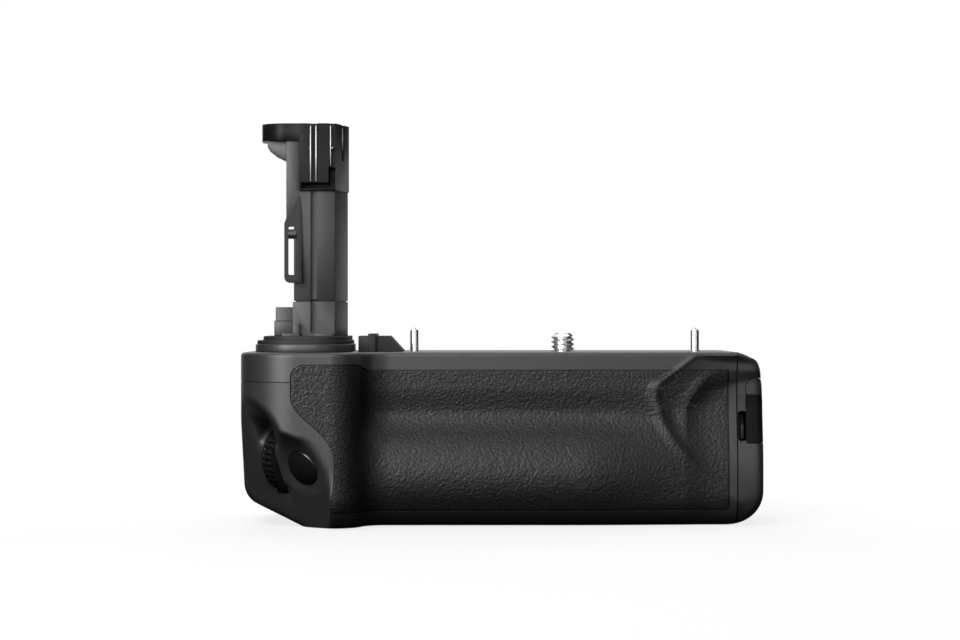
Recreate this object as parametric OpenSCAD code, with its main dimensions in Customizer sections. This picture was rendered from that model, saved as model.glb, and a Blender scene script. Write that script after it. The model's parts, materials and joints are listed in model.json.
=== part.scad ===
// Camera battery grip. The origin is on the attachment screw's axis, on the face that meets the camera.
// X runs towards the battery door, Y towards the back and Z up into the camera.

/* [Body] */
// Screw axis to the left end of the handgrip
body_left = 84.6; // [83.6:0.2:90]
// Screw axis to the seam of the battery door
body_right = 44.8; // [44:0.2:50]
// Depth of the body below the mating face
body_h = 45.5; // [44.5:0.5:50]
// Screw axis to the front wall
front_y = 24; // [23.5:0.5:27]
// Screw axis to the rear wall
rear_y = 26; // [25.5:0.5:29]
// Screw axis to the front of the handgrip
grip_front = 40; // [39:0.5:43]
// Screw axis to the handgrip's flank
grip_flank = 53.5; // [52.5:0.5:54]
// Radius of the handgrip's front left corner
grip_corner = 15; // [13:0.5:17]
// Radius of the handgrip's front right corner
flank_corner = 7; // [5:0.5:9]
// Radius of the rear left corner
rear_corner = 12; // [10:0.5:13]
// Radius under the front of the handgrip
grip_edge = 9; // [7:0.5:11]
// Radius under the back of the body
rear_edge = 7; // [5:0.5:8]
// Radius under the front of the body
front_edge = 5; // [4:0.5:6]
// Reach of the lower front bulge
bulge_front = 30.5; // [29:0.5:33]
// Radius of the lower front bulge
bulge_r = 13.5; // [12:0.5:15]
// Screw axis to where the bulge starts to fade towards the door
bulge_end = 5; // [0:1:15]
// Depth of the finger valley above the bulge
valley_depth = 1.5; // [0.5:0.1:2]
// Radius of the finger valley
valley_r = 18; // [14:1:24]
// Height of the valley's middle below the mating face
valley_z = 17; // [15:0.5:18]
// Screw axis to the foot of the slanted lower left corner
nose_x = 68.6; // [66:0.1:70]
// Slant of the lower left corner
nose_angle = 23.2; // [20:0.2:26]
// Radius above the slanted corner
nose_r = 6; // [4:0.5:8]
// Height of the top case
top_case_h = 7.5; // [7.3:0.1:9]
// Thickness of the top plate
top_t = 2.2; // [1.8:0.1:2.4]
// Wall thickness of both cases
wall = 2; // [1.6:0.1:2.2]
// Thickness of the rubber grip panels
skin_t = 1.2; // [0.8:0.1:1.4]

/* [Grip panels] */
// Top edge of the front panel on the handgrip
panel_top = 3.3; // [2.6:0.1:4]
// Top edge of the front panel on the body
strip_h = 4.9; // [4:0.1:6]
// Screw axis to the front panel's left edge
panel_left = 70.5; // [69:0.5:72]
// Gap between the front panel and the door seam
frame_w = 2.3; // [1.8:0.1:3]
// Height of the grip panels' lower edge above the base
panel_rise = 4.5; // [3.5:0.5:6]
// Radius of the front panel's corner
panel_r = 3; // [1:0.5:4]
// Rear panel: screw axis to its left edge
rear_panel_left = 50; // [48:0.5:52]
// Rear panel: screw axis to its right edge
rear_panel_right = 34; // [28:0.5:38]
// Rear panel: top edge
rear_panel_top = 11; // [9:0.5:14]

/* [Scoop at the battery door] */
// Screw axis to the scoop's point
scoop_x = 23.9; // [20:0.5:28]
// Height of the scoop's point below the mating face
scoop_z = 8.8; // [7:0.2:11]
// Depth of the scoop at the door
scoop_depth = 2.4; // [2:0.2:3.6]
// Top of the scoop
scoop_top = 1; // [0.6:0.1:1.4]
// Bottom of the scoop
scoop_low = 21.5; // [20:0.5:22]

/* [Shutter button and dial] */
// Turn of the slanted control face towards the left
facet_turn = 40; // [36:1:44]
// Dip of the slanted control face
facet_dip = 23; // [20:1:26]
// Radius of the shutter button
button_r = 4.75; // [4.2:0.05:5]
// Height of the button's crown above the control face
button_rise = 0.5; // [0.2:0.1:1]
// Travel of the shutter button
button_travel = 1.2; // [0.8:0.1:1.4]
// Depth of the dish round the button
dish_depth = 1.1; // [0.6:0.1:1.3]
// Radius of the dial
dial_r = 9; // [8:0.25:9.5]
// Width of the dial
dial_w = 4.4; // [3.6:0.2:5]
// How far the dial stands out of the control face
dial_proud = 2; // [1:0.2:2.4]
// Number of ribs round the dial
dial_ribs = 36; // [24:1:44]
// Radius of the dial's axle
axle_r = 1.2; // [1:0.1:1.5]

/* [Rear controls] */
// Radius of the three rear buttons
rear_button_r = 2.8; // [2.2:0.1:3.2]
// Travel of the rear buttons
rear_travel = 0.8; // [0.5:0.1:1]
// How far the rear buttons stand out
rear_button_rise = 0.9; // [0.5:0.1:1.4]
// Spacing of the rear buttons
rear_pitch = 9; // [8.5:0.25:9.5]
// Radius of the stick's cap
stick_cap_r = 3.3; // [2.8:0.1:3.6]
// Tilt of the stick each way
stick_tilt = 8; // [4:1:10]
// Radius of the power lever's hub
lever_hub_r = 5; // [4:0.2:5.6]
// Reach of the power lever's tab
lever_reach = 8; // [7:0.2:9]
// Thickness of the control board
board_t = 1.6; // [1:0.2:2]

/* [Camera attachment] */
// Outer radius of the attachment screw's thread
screw_r = 3.175; // [3.1:0.025:3.2]
// Height of the attachment screw above the mating face
screw_h = 4.9; // [4:0.1:5.5]
// Pitch of the thread
screw_pitch = 1.27; // [1:0.01:1.3]
// Left locating pin's distance from the screw
pin_left = 40.1; // [39:0.1:41]
// Right locating pin's distance from the screw
pin_right = 35.7; // [34:0.1:37]
// Radius of the locating pins
pin_r = 1.15; // [1:0.05:1.5]
// Height of the locating pins
pin_h = 6.4; // [5:0.1:7]
// Teeth of the screw's pinion
pinion_teeth = 10; // [9:1:11]
// Teeth of the thumbwheel
wheel_teeth = 22; // [21:1:23]
// Module of the two gears
gear_module = 1; // [0.96:0.02:1.04]
// Thickness of the gears
gear_h = 3; // [2:0.1:3.1]
// Play between the gear flanks
backlash = 0.2; // [0.16:0.02:0.3]

/* [Column] */
// Height of the column above the mating face
column_h = 59.9; // [56:0.1:64]
// Screw axis to the column's left face, below the head
column_left = 73.1; // [72.6:0.1:74]
// Screw axis to the column's right face
column_right = 57.6; // [57.2:0.1:58.4]
// Screw axis to the column's front face
column_front = 22; // [21:0.5:23]
// Depth of the column from front to back
column_depth = 13; // [12:0.5:14]
// Height of the head
head_h = 17.6; // [15:0.2:19]
// Thickness of the head's flange
flange_t = 4.5; // [3.5:0.1:5]
// Reach of the flange past the column's left face
flange_reach = 6.8; // [5:0.1:8]
// Top of the column's base
base_top = 13.2; // [12:0.1:14]
// Height of the stepped seal
seal_h = 4.2; // [3.6:0.1:5]

/* [Battery tray] */
// Screw axis to the inner end of the battery bay
bay_in = 14.5; // [13.5:0.5:15]
// Screw axis to the front of the battery bay
bay_front = 18.2; // [17.6:0.1:18.4]
// Wall behind the battery bay
bay_back = 2.6; // [2.4:0.1:3]
// Floor under the battery bay
bay_floor = 2; // [1.8:0.1:2.4]
// Thickness of the battery door
door_t = 6.8; // [6.6:0.1:8]
// Gap of the battery door's seam
door_gap = 0.3; // [0.2:0.05:0.5]
// Length of the door's release lever
lever_len = 15.1; // [14:0.1:15.4]

/* [Tripod socket] */
// Screw axis to the tripod socket
tripod_x = 27; // [26:0.5:30]
// Bore radius of the tripod socket
tripod_r = 2.55; // [2.5:0.05:2.7]
// Depth of the tripod socket's thread
tripod_depth = 5.5; // [4.5:0.5:6]

/* [Clearances] */
// Room between pieces that slide or swing past each other
slide_gap = 0.3; // [0.25:0.05:0.4]
// Radial room in running fits
fit_gap = 0.05; // [0.03:0.01:0.1]

/* [Hidden] */
$fn = 64;

case_black = [0.13, 0.13, 0.14];
strip_grey = [0.22, 0.22, 0.23];
rubber_black = [0.09, 0.09, 0.10];
gloss_black = [0.05, 0.05, 0.06];
steel = [0.78, 0.78, 0.80];
brass = [0.80, 0.66, 0.34];
board_green = [0.10, 0.32, 0.20];
ribbon_amber = [0.72, 0.42, 0.12];
pack_grey = [0.27, 0.28, 0.30];

// How far a cut runs past the face that it opens
over = 1;
// Skin and wall together, measured in from the outside
shell = skin_t + wall;
// Lower edge of the grip panels
panel_low = body_h - panel_rise;
// Chamfer at the bay's lower corners, and the wall at its inner end
bay_chamfer = 2;
partition_t = 1.6;

// Middle of the lower bulge and of the finger valley, in Y and Z
bulge_c = [-(bulge_front - bulge_r), -(body_h - bulge_r)];
valley_c = [-(front_y - valley_depth + valley_r), -valley_z];
bulge_fade_r = front_y + bulge_c.x - 0.5;

// Rounding above the slanted lower left corner, in X and Z
nose_c = [
  -body_left + nose_r,
  -body_h + (nose_r - (nose_r + nose_x - body_left) * sin(nose_angle)) / cos(nose_angle)
];

// The control face passes through the middle of the shutter button
shutter_in = [16.35, 5.5, 15.7];
shutter_at = [-(body_left - shutter_in.x), -(grip_front - shutter_in.y), -(body_h - shutter_in.z)];

// Edges of the control face seen from the front: sweep at the left end and ridge round the button
sweep_c = [-(body_left + 3.4), -(body_h - 19.5)];
sweep_r = 15;
ridge_r = 7.6;
// Left edge of the front panel beside the ridge, always left of the flank
panel_ridge = max(-shutter_at.x - ridge_r - 1.4, grip_flank + 2);

// Dish and crown of the shutter button, the collar that holds each button in and the plunger behind it
dish_r = 18;
crown_r = 20;
button_room = 0.2;
collar_gap = 0.3;
collar_t = 1;
collar_lip = 0.9;
plunger_r = 1.5;
plunger_h = 2.5;

// Switch under the plunger and the shelf that carries it
switch_size = [6, 5, 1.8];
switch_z = -(shell + collar_gap + collar_t + plunger_h + button_travel + 0.1);
shelf_t = 1.4;
shelf_edge = 0.5;

// The dial turns in a slot beside the shutter button, with its axle along the control face
dial_out = [-sin(facet_turn), -cos(facet_turn)];
dial_face_x = shutter_at.x - 8.15;
dial_z = shutter_at.z + 2.2;
dial_face_y = shutter_at.y
  - (dial_face_x - shutter_at.x) * tan(facet_turn)
  - (dial_z - shutter_at.z) * tan(facet_dip) / cos(facet_turn);
dial_at = [
  dial_face_x - dial_out.x * (dial_r - dial_proud),
  dial_face_y - dial_out.y * (dial_r - dial_proud),
  dial_z
];
dial_room = 0.5;
rib_depth = 0.5;

// Hanger of the dial: two cheeks on a plate that hangs from the top case
cheek_t = 1.2;
cheek_h = 4.4;
cheek_in = dial_w / 2 + slide_gap;
hanger_t = 1.4;
hanger_back = dial_r + 1.4;

// Rear controls, in X and Z
rear_in = rear_y - shell;
buttons_x = -(body_left - 13.9);
buttons_z = [-13, -13 - rear_pitch, -13 - 2 * rear_pitch];
stick_at = [buttons_x + 11.5, -19];
power_at = [buttons_x + 11.5, -33];
board_y = rear_in - 5;
board_front = board_y - board_t;
board_left = body_left - 8.6;
board_right = bay_in + partition_t + 8;
board_top = 9;
board_low = 36;
bosses = [
  [buttons_x + 5.5, -34],
  [-(grip_flank - 4.5), -12],
  [-(board_right + 4), -12],
  [-(board_right + 4), -33]
];
boss_r = 2.2;
board_screw_r = 0.8;
rear_room = 0.15;
rear_lip = 0.8;

// Key domes on the board, under the rear buttons
dome_r = 1.6;
dome_h = 0.5;

// Power lever: gap to the rear wall, thickness of hub and tab, half width of the tab, collar inside
power_gap = 0.15;
power_hub_t = 1.4;
power_tab_t = 2.05;
power_tab = 1.4;
power_collar_r = 2.6;

// Stick and gimbal
stick_y = rear_in - 2;
stick_r = 2;
stick_cap_t = 2.2;
stick_cap_set = 0.8;
stick_dish_r = 7;
stick_dish = 0.4;
gimbal_r = 5.2;
gimbal_in = 3.4;
gimbal_h = 2.2;
housing_in = gimbal_r + slide_gap;
housing_r = housing_in + 1.1;
trunnion_r = 0.8;
stick_hole_r = stick_cap_r + 0.8 + (rear_y - stick_y) * tan(stick_tilt);

// Locating pins: wider pressed root and tapered tip
pin_step = 0.25;
pin_tip = 0.8;

// Thread of the attachment screw: depth, crest and the plain collar that it starts from
thread_depth = 0.55;
thread_rise = 0.3;
thread_crest = 0.32;
screw_collar = 0.3;
screw_tip = 0.4;
screw_room = 0.2;

// Gear train under the top plate
wheel_y = gear_module * (pinion_teeth + wheel_teeth) / 2;
gear_top = -(top_t + 0.2);
gear_low = gear_top - gear_h;
bracket_top = gear_low - 0.2;
bracket_t = 0.8;
wheel_tip = gear_module * (wheel_teeth / 2 + 0.7);
wheel_axle_r = 1.5;
pivot_r = 1.8;
hub_r = 2.6;
bracket_front = [11, -3];
bracket_side = [wheel_tip + 2.6, wheel_y + 1];
bracket_posts = [
  [-bracket_front.x, bracket_front.y], bracket_front, [-bracket_side.x, bracket_side.y], bracket_side
];
bracket_edge = 2.4;
bracket_post_r = 2;
bracket_screw_r = 0.8;
bracket_head_r = 1.6;
bracket_head_h = 0.6;
wheel_slot = sqrt(wheel_tip * wheel_tip - pow(rear_in - wheel_y, 2)) + 0.7;

// Case screws run up through the floor into long posts of the top case
case_posts = [
  [-(column_right + 0.4), -12], [-(column_right + 0.4), 8],
  [-(bay_in + partition_t + 5), -14], [-(bay_in + partition_t + 5), 10]
];
post_r = 2.4;
case_screw_r = 0.95;
case_head_r = 2.1;
case_head_h = 1.3;
chamber_floor = -(body_h - shell);

// Column
column_back = column_front - column_depth;
lower_left = column_left - 2.2;
base_left = column_left - 1.7;
bevel_x = column_right + 2.7;
head_bottom = column_h - head_h;
flange_z = column_h - flange_t;
shoulder_x = column_left - 3.5;
gusset = flange_reach - 1.8;
post_bottom = base_top + 0.7;
groove_x = 65.6;
groove_w = 1.5;
groove_depth = 1.6;
ribbon_w = 8;
ribbon_t = 0.3;
ribbon_x = (column_left + column_right) / 2 - 0.35;
ribbon_y = -(column_back + 1.85);
ribbon_z = -11.3;
ribbon_room = 0.7;
seal_left = column_left + 8.2;
seal_right = column_right - 1.4;
seal_front = column_front + 9;
seal_back = 9;
plinth_inset = 4.1;
column_screw_at = [[-(column_left - 2.6), -(column_front - 3)], [-(column_right + 3), -(column_front - 3)]];
column_screw_r = 0.9;

// Head: how far its front stands out; contact blades by middle in X, width of the pair and lower end
head_step = 0.6;
contact_slots = [
  [-groove_x + 0.9, 2.2, head_bottom + 1.8],
  [-bevel_x - 1.2, 0.8, head_bottom + 1]
];
blade_t = 0.8;
blade_room = 0.3;
blade_set = 0.6;
blade_rise = 0.2;
blade_depth = 3;

// Door keeper: opposite corners in X and Z, thickness, slot edge and pin
keeper = [[-column_left - 0.4, base_top + 4.9], [-shoulder_x - 0.3, base_top + 25.3]];
keeper_t = 1.6;
keeper_slot_r = 0.75;
keeper_pin_r = 1.1;

// Block for the camera's battery door recess: edges from the column's right face, depth and rib
recess_in = 3.1;
recess_flat = 11.3;
recess_out = 14.9;
recess_y = [-16, 2];
recess_rib = [5.7, 2.1, 0.6];

// Battery bay, tray and door
bay_low = -(body_h - bay_floor);
bay_rear = rear_y - bay_back;
tray_low = bay_low + slide_gap;
tray_top = -(top_case_h + slide_gap);
tray_floor_t = 1;
spine_t = 1.2;
spine_y = (bay_rear - bay_front) / 2;
pack_play = 0.2;
pack_chamfer = 1.6;
tray_in_t = 0.8;
tray_in_h = 5;
terminal_t = 3;
terminal_reach = 0.8;
pack_in = -(bay_in - terminal_t - terminal_reach - slide_gap);
door_in = body_right + door_gap;
door_out = door_in + door_t;
tray_end_t = 1.6;
pack_out = door_in - tray_end_t - pack_play;
door_plate = door_in + 1.9;
lever_in = door_plate + 0.4;
lever_axis = [door_out - 2, -8.6];
lever_barrel = 1.6;
lever_pin_r = 0.8;
lever_front = -(front_y - scoop_depth);
lever_back = 12;
knuckle = [-6, -1];
door_top_edge = 6.3;
door_low_edge = -lever_axis.y + lever_len + slide_gap;
notch = [15.3, 22.9];
seal_inset = 0.5;
door_seal_w = 1.2;
terminal_z = [-30, -14];
terminal_plug = [[12, -22], [board_front - ribbon_t, -16]];
terminals_y = [
  for (middle = [-(bay_front - spine_y) / 2, (bay_rear + spine_y) / 2])
    for (side = [-4, 4]) middle + side
];
terminal_pin_r = 1;
terminal_edge = 2.5;

tripod_bush_r = 5.2;
tripod_flange_r = 7;

// Helpers

// Sweeps a Y-Z outline from x0 to x1
module along_x(x0, x1) {
  translate([x0, 0, 0]) rotate([90, 0, 90]) linear_extrude(x1 - x0) children();
}

// Sweeps an X-Z outline from y0 to y1
module along_y(y0, y1) {
  translate([0, y1, 0]) rotate([90, 0, 0]) linear_extrude(y1 - y0) children();
}

// Block between two corners
module block(low, high) {
  translate(low) cube(high - low);
}

// Rod along X, Y or Z that starts at a point
module rod_x(at, r, h) {
  translate(at) rotate([0, 90, 0]) cylinder(r = r, h = h);
}

module rod_y(at, r, h) {
  translate(at) rotate([-90, 0, 0]) cylinder(r = r, h = h);
}

module rod_z(at, r, h) {
  translate(at) cylinder(r = r, h = h);
}

// Rectangle with its own radius at each corner: low low, high low, high high, low high
module soft_rect(low, high, r) {
  polygon([
    [low.x + r[0], low.y], [high.x - r[1], low.y], [high.x, low.y + r[1]], [high.x, high.y - r[2]],
    [high.x - r[2], high.y], [low.x + r[3], high.y], [low.x, high.y - r[3]], [low.x, low.y + r[0]]
  ]);
  if (r[0] > 0) translate([low.x + r[0], low.y + r[0]]) circle(r[0]);
  if (r[1] > 0) translate([high.x - r[1], low.y + r[1]]) circle(r[1]);
  if (r[2] > 0) translate([high.x - r[2], high.y - r[2]]) circle(r[2]);
  if (r[3] > 0) translate([low.x + r[3], high.y - r[3]]) circle(r[3]);
}

// Point on a cubic curve
function bezier(a, b, c, d, t) =
  pow(1 - t, 3) * a + 3 * t * pow(1 - t, 2) * b + 3 * t * t * (1 - t) * c + pow(t, 3) * d;

// Points along an arc from angle a to angle b
function arc_points(c, r, a, b, n) =
  [for (i = [0:n]) let (t = a + (b - a) * i / n) c + r * [cos(t), sin(t)]];

// Angle between a tooth's middle and its flank, at a radius
function involute(base, r) = let (a = acos(min(1, base / r))) tan(a) * 180 / PI - a;

function gear_outline(teeth, m, play) =
  let (
    pitch_r = m * teeth / 2,
    base = pitch_r * cos(25),
    root = pitch_r - m,
    tip = pitch_r + 0.7 * m,
    half = 90 / teeth - play / 4 / pitch_r * 180 / PI + involute(base, pitch_r),
    start = max(root, base),
    radii = [for (i = [0:4]) start + (tip - start) * i / 4],
    rise = concat([[root, half - involute(base, start)]], [for (r = radii) [r, half - involute(base, r)]])
  )
  [
    for (k = [0:teeth - 1])
      for (i = [0:2 * len(rise) - 1])
        let (
          p = i < len(rise) ? rise[i] : rise[2 * len(rise) - 1 - i],
          a = 360 * k / teeth + (i < len(rise) ? -p[1] : p[1])
        )
        p[0] * [cos(a), sin(a)]
  ];

// Ribbed ring outline
function rib_outline(r, ribs, depth) =
  [for (i = [0:2 * ribs - 1]) (i % 2 == 0 ? r : r - depth) * [cos(180 * i / ribs), sin(180 * i / ribs)]];

// Body form, drawn smaller by d on every side but the top

module main_profile(d) {
  difference() {
    polygon([
      [-front_y + d, 0], [rear_y - d, 0], [rear_y - d, -body_h + rear_edge],
      [rear_y - rear_edge, -body_h + d], [-front_y + front_edge, -body_h + d],
      [-front_y + d, -body_h + front_edge]
    ]);
    translate(valley_c) circle(valley_r + d);
  }
  translate([-front_y + front_edge, -body_h + front_edge]) circle(front_edge - d);
  translate([rear_y - rear_edge, -body_h + rear_edge]) circle(rear_edge - d);
}

// Lower front bulge, which fades into the front wall at the battery door
module bulge(d) {
  start = -grip_flank - flank_corner;
  rod_x([start, bulge_c.x, bulge_c.y], bulge_r - d, bulge_end - start);
  translate([bulge_end, bulge_c.x, bulge_c.y]) rotate([0, 90, 0])
    cylinder(h = body_right - bulge_end, r1 = bulge_r - d, r2 = bulge_fade_r - d);
}

module grip_plan(d) {
  soft_rect(
    [-body_left + d, -grip_front + d], [-grip_flank - d, rear_y - d],
    [grip_corner - d, flank_corner - d, 0, rear_corner - d]
  );
}

module grip_side(d) {
  soft_rect([-grip_front + d, -body_h + d], [rear_y - d, 0], [grip_edge - d, rear_edge - d, 0, 0]);
}

module front_view(d) {
  polygon(concat(
    [
      [-body_left + d, over], [body_right + over, over], [body_right + over, -body_h + d],
      [-nose_x + d * (1 - cos(nose_angle)) / sin(nose_angle), -body_h + d]
    ],
    arc_points(nose_c, nose_r - d, 270 - nose_angle, 180, 8)
  ));
}

// Local frame of the control face: Z out of the face, X along it
module at_facet() {
  translate(shutter_at) rotate([0, 0, -facet_turn]) rotate([90 + facet_dip, 0, 0]) children();
}

// Outline, seen from the front, within which the slanted control face is cut
module facet_region(d) {
  translate(sweep_c) circle(sweep_r + d);
  translate([shutter_at.x, shutter_at.z]) circle(ridge_r + d);
  translate([-body_left - over, -body_h - over])
    square([body_left + over + shutter_at.x + ridge_r + d, body_h + over + shutter_at.z]);
}

module facet_cut(d) {
  intersection() {
    along_y(-grip_front - over, rear_y) facet_region(d);
    at_facet() translate([-body_h, -body_h, -d]) cube([2 * body_h, 2 * body_h, body_h]);
  }
}

module scoop(d) {
  intersection() {
    along_y(-front_y - bulge_r, 0) polygon([
      [scoop_x - d, -scoop_z], [scoop_x + 10.7 - d, -scoop_top + d], [door_out + over, -scoop_top + d],
      [door_out + over, -scoop_low - d], [scoop_x + 5.5 - d, -scoop_low - d]
    ]);
    translate([0, 0, -body_h]) linear_extrude(body_h) polygon([
      [scoop_x, -front_y - bulge_r], [scoop_x, -front_y + d], [body_right, -front_y + scoop_depth + d],
      [door_out + over, -front_y + scoop_depth + d], [door_out + over, -front_y - bulge_r]
    ]);
  }
}

module body(d) {
  difference() {
    intersection() {
      along_y(-grip_front - over, rear_y + over) front_view(d);
      union() {
        along_x(-grip_flank - flank_corner, body_right) main_profile(d);
        bulge(d);
        intersection() {
          translate([0, 0, -body_h - over]) linear_extrude(body_h + 2 * over) grip_plan(d);
          along_x(-body_left - over, -grip_flank + over) grip_side(d);
        }
      }
    }
    facet_cut(d);
    scoop(d);
  }
}

// Slab over the body's whole length and depth, between two heights
module whole_width(low, high) {
  block([-body_left - over, -grip_front - over, low], [body_right + over, rear_y + over, high]);
}

// Outline of the front rubber panel, seen from the front
module front_panel_region() {
  upper = [
    [-panel_left, -panel_top - 8], [-panel_left, -panel_top - 14],
    [-panel_ridge, shutter_at.z + 10], [-panel_ridge, shutter_at.z + 1.3]
  ];
  lower = [
    upper[3], [-panel_ridge, -panel_low + 8], [-panel_ridge - 0.8, -panel_low + 4],
    [-panel_ridge - 1.3, -panel_low]
  ];
  polygon(concat(
    arc_points([-panel_left + panel_r, -panel_top - panel_r], panel_r, 90, 180, 4),
    [for (i = [0:8]) bezier(upper[0], upper[1], upper[2], upper[3], i / 8)],
    [for (i = [1:4]) bezier(lower[0], lower[1], lower[2], lower[3], i / 4)],
    [
      [body_right - frame_w, -panel_low], [body_right - frame_w, -strip_h],
      [-grip_flank + 2.5, -strip_h], [-grip_flank + 2.5, -panel_top]
    ]
  ));
}

module rear_panel_region() {
  soft_rect([-rear_panel_left, -panel_low + 1], [rear_panel_right, -rear_panel_top], [4, 4, 4, 4]);
}

// Room for the grip panels, cut from the cases
module panel_pockets() {
  difference() {
    union() {
      along_y(-grip_front - over, -front_y / 2) front_panel_region();
      along_y(rear_y / 2, rear_y + over) rear_panel_region();
    }
    body(skin_t);
  }
}

// Battery bay outline in Y and Z, grown by g
module bay_profile(g) {
  polygon([
    [-bay_front - g, -top_case_h + g], [bay_rear + g, -top_case_h + g],
    [bay_rear + g, bay_low - g + bay_chamfer], [bay_rear + g - bay_chamfer, bay_low - g],
    [-bay_front - g + bay_chamfer, bay_low - g], [-bay_front - g, bay_low - g + bay_chamfer]
  ]);
}

// Local frame of the dial: X along its axle, minus Y out of the control face
module at_dial() {
  translate(dial_at) rotate([0, 0, -facet_turn]) children();
}

module column_plan(left) {
  polygon([
    [-left, -column_front], [-bevel_x, -column_front], [-column_right, -column_back - 1],
    [-column_right, -column_back], [-left, -column_back]
  ]);
}

module ribbon_channel(low, high) {
  block(
    [-ribbon_x - ribbon_w / 2 - ribbon_room, ribbon_y - ribbon_room, low],
    [-ribbon_x + ribbon_w / 2 + ribbon_room, ribbon_y + ribbon_room, high]
  );
}

// Body pieces

module top_case() {
  color(strip_grey) {
    difference() {
      intersection() {
        body(0);
        whole_width(-top_case_h, over);
      }
      intersection() {
        body(shell);
        block([-body_left, -grip_front, -top_case_h - over], [body_right - wall, rear_y, -top_t]);
      }
      panel_pockets();
      rod_z([0, 0, -top_t - over], screw_r + screw_room, top_t + 2 * over);
      for (x = [-pin_left, pin_right]) rod_z([x, 0, -top_t - over], pin_r + pin_step, top_t + 2 * over);
      for (p = column_screw_at) rod_z([p.x, p.y, -top_t - over], column_screw_r + 0.1, top_t + 2 * over);
      block(
        [-wheel_slot, rear_in - over, gear_low - slide_gap],
        [wheel_slot, rear_y + over, gear_top + slide_gap]
      );
      ribbon_channel(-top_t - over, over);
    }
    difference() {
      union() {
        for (p = case_posts) rod_z([p.x, p.y, chamber_floor], post_r, -chamber_floor - top_t);
        for (p = bracket_posts) rod_z([p.x, p.y, bracket_top], bracket_post_r, -bracket_top - top_t);
      }
      for (p = case_posts) rod_z([p.x, p.y, chamber_floor - over], case_screw_r + fit_gap, 9);
      for (p = bracket_posts) rod_z([p.x, p.y, bracket_top - over], bracket_screw_r + fit_gap, 3.5);
    }
  }
}

module lower_case() {
  color(case_black) {
    difference() {
      intersection() {
        body(0);
        whole_width(-body_h - over, -top_case_h);
      }
      intersection() {
        body(shell);
        block([-body_left, -grip_front, -body_h], [-bay_in - partition_t, rear_y, 0]);
      }
      along_x(-bay_in, body_right + over) bay_profile(0);
      panel_pockets();
      block(
        [-bay_in - partition_t - over, terminal_plug[0].x - slide_gap, terminal_plug[0].y - slide_gap],
        [-bay_in + over, terminal_plug[1].x + slide_gap, terminal_plug[1].y + slide_gap]
      );
      at_facet() {
        translate([0, 0, dish_r - dish_depth]) sphere(dish_r);
        translate([0, 0, -shell - over]) cylinder(r = button_r + button_room, h = shell + 2 * over);
      }
      at_dial() rod_x([-cheek_in, 0, 0], dial_r + dial_room, 2 * cheek_in);
      for (z = buttons_z)
        rod_y([buttons_x, rear_in - over, z], rear_button_r + rear_room, shell + 2 * over);
      rod_y([stick_at.x, rear_in - over, stick_at.y], stick_hole_r, shell + 2 * over);
      rod_y([power_at.x, rear_in - over, power_at.y], wheel_axle_r + fit_gap, shell + 2 * over);
      rod_z([-tripod_x, 0, -body_h - over], tripod_bush_r, shell + 2 * over);
      for (p = case_posts) {
        rod_z([p.x, p.y, -body_h - over], case_screw_r + 0.25, shell + 2 * over);
        rod_z([p.x, p.y, -body_h - over], case_head_r + 0.2, case_head_h + over);
      }
    }
    difference() {
      for (p = bosses) rod_y([p.x, board_y, p.y], boss_r, rear_in - board_y);
      for (p = bosses) rod_y([p.x, board_y - over, p.y], board_screw_r + fit_gap, 5);
    }
  }
}

module front_grip() {
  color(rubber_black) intersection() {
    difference() {
      body(0);
      body(skin_t);
    }
    along_y(-grip_front - over, -front_y / 2) front_panel_region();
  }
}

module rear_grip() {
  color(rubber_black) intersection() {
    difference() {
      body(0);
      body(skin_t);
    }
    along_y(rear_y / 2, rear_y + over) rear_panel_region();
  }
}

module case_screws() {
  color(steel) for (p = case_posts) {
    rod_z([p.x, p.y, -body_h + 0.2], case_head_r, case_head_h - 0.2);
    rod_z([p.x, p.y, -body_h + case_head_h], case_screw_r, shell + 5);
  }
}

module tripod_bush() {
  color(steel) difference() {
    union() {
      rod_z([-tripod_x, 0, -body_h], tripod_bush_r, tripod_depth + 1.5);
      rod_z([-tripod_x, 0, chamber_floor], tripod_flange_r, 1.2);
    }
    rod_z([-tripod_x, 0, -body_h - over], tripod_r, tripod_depth + over);
  }
}

// Column that fills the camera's battery compartment

module seal_step(inset, low, high) {
  translate([0, 0, low]) linear_extrude(high - low) soft_rect(
    [-seal_left + inset, -seal_front + inset], [-seal_right - inset / 3, seal_back - inset],
    [6 - inset, 3, 3, 6 - inset]
  );
}

module column_seal() {
  color(rubber_black) difference() {
    union() {
      seal_step(0, 0, seal_h * 0.36);
      seal_step(0.8, seal_h * 0.36, seal_h * 0.64);
      seal_step(2, seal_h * 0.64, seal_h);
    }
    plinth(-over, seal_h + over);
  }
}

module plinth(low, high) {
  block(
    [-seal_left + plinth_inset, -seal_front + plinth_inset, low],
    [-seal_right - 1.6, seal_back - plinth_inset, high]
  );
}

module column_base() {
  color(case_black) difference() {
    union() {
      plinth(0, seal_h);
      translate([0, 0, seal_h]) linear_extrude(base_top - seal_h) column_plan(base_left);
      for (x = [-base_left - 2.4, -groove_x])
        block([x, -column_front - 4.5, seal_h], [x + 4.8, -column_front, seal_h + 0.8]);
    }
    translate([-groove_x, -column_front - over, seal_h + 0.8])
      cube([groove_w, groove_depth + over, base_top]);
    ribbon_channel(-over, base_top + over);
    for (p = column_screw_at) rod_z([p.x, p.y, -over], column_screw_r + fit_gap, over + 6.5);
  }
}

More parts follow.
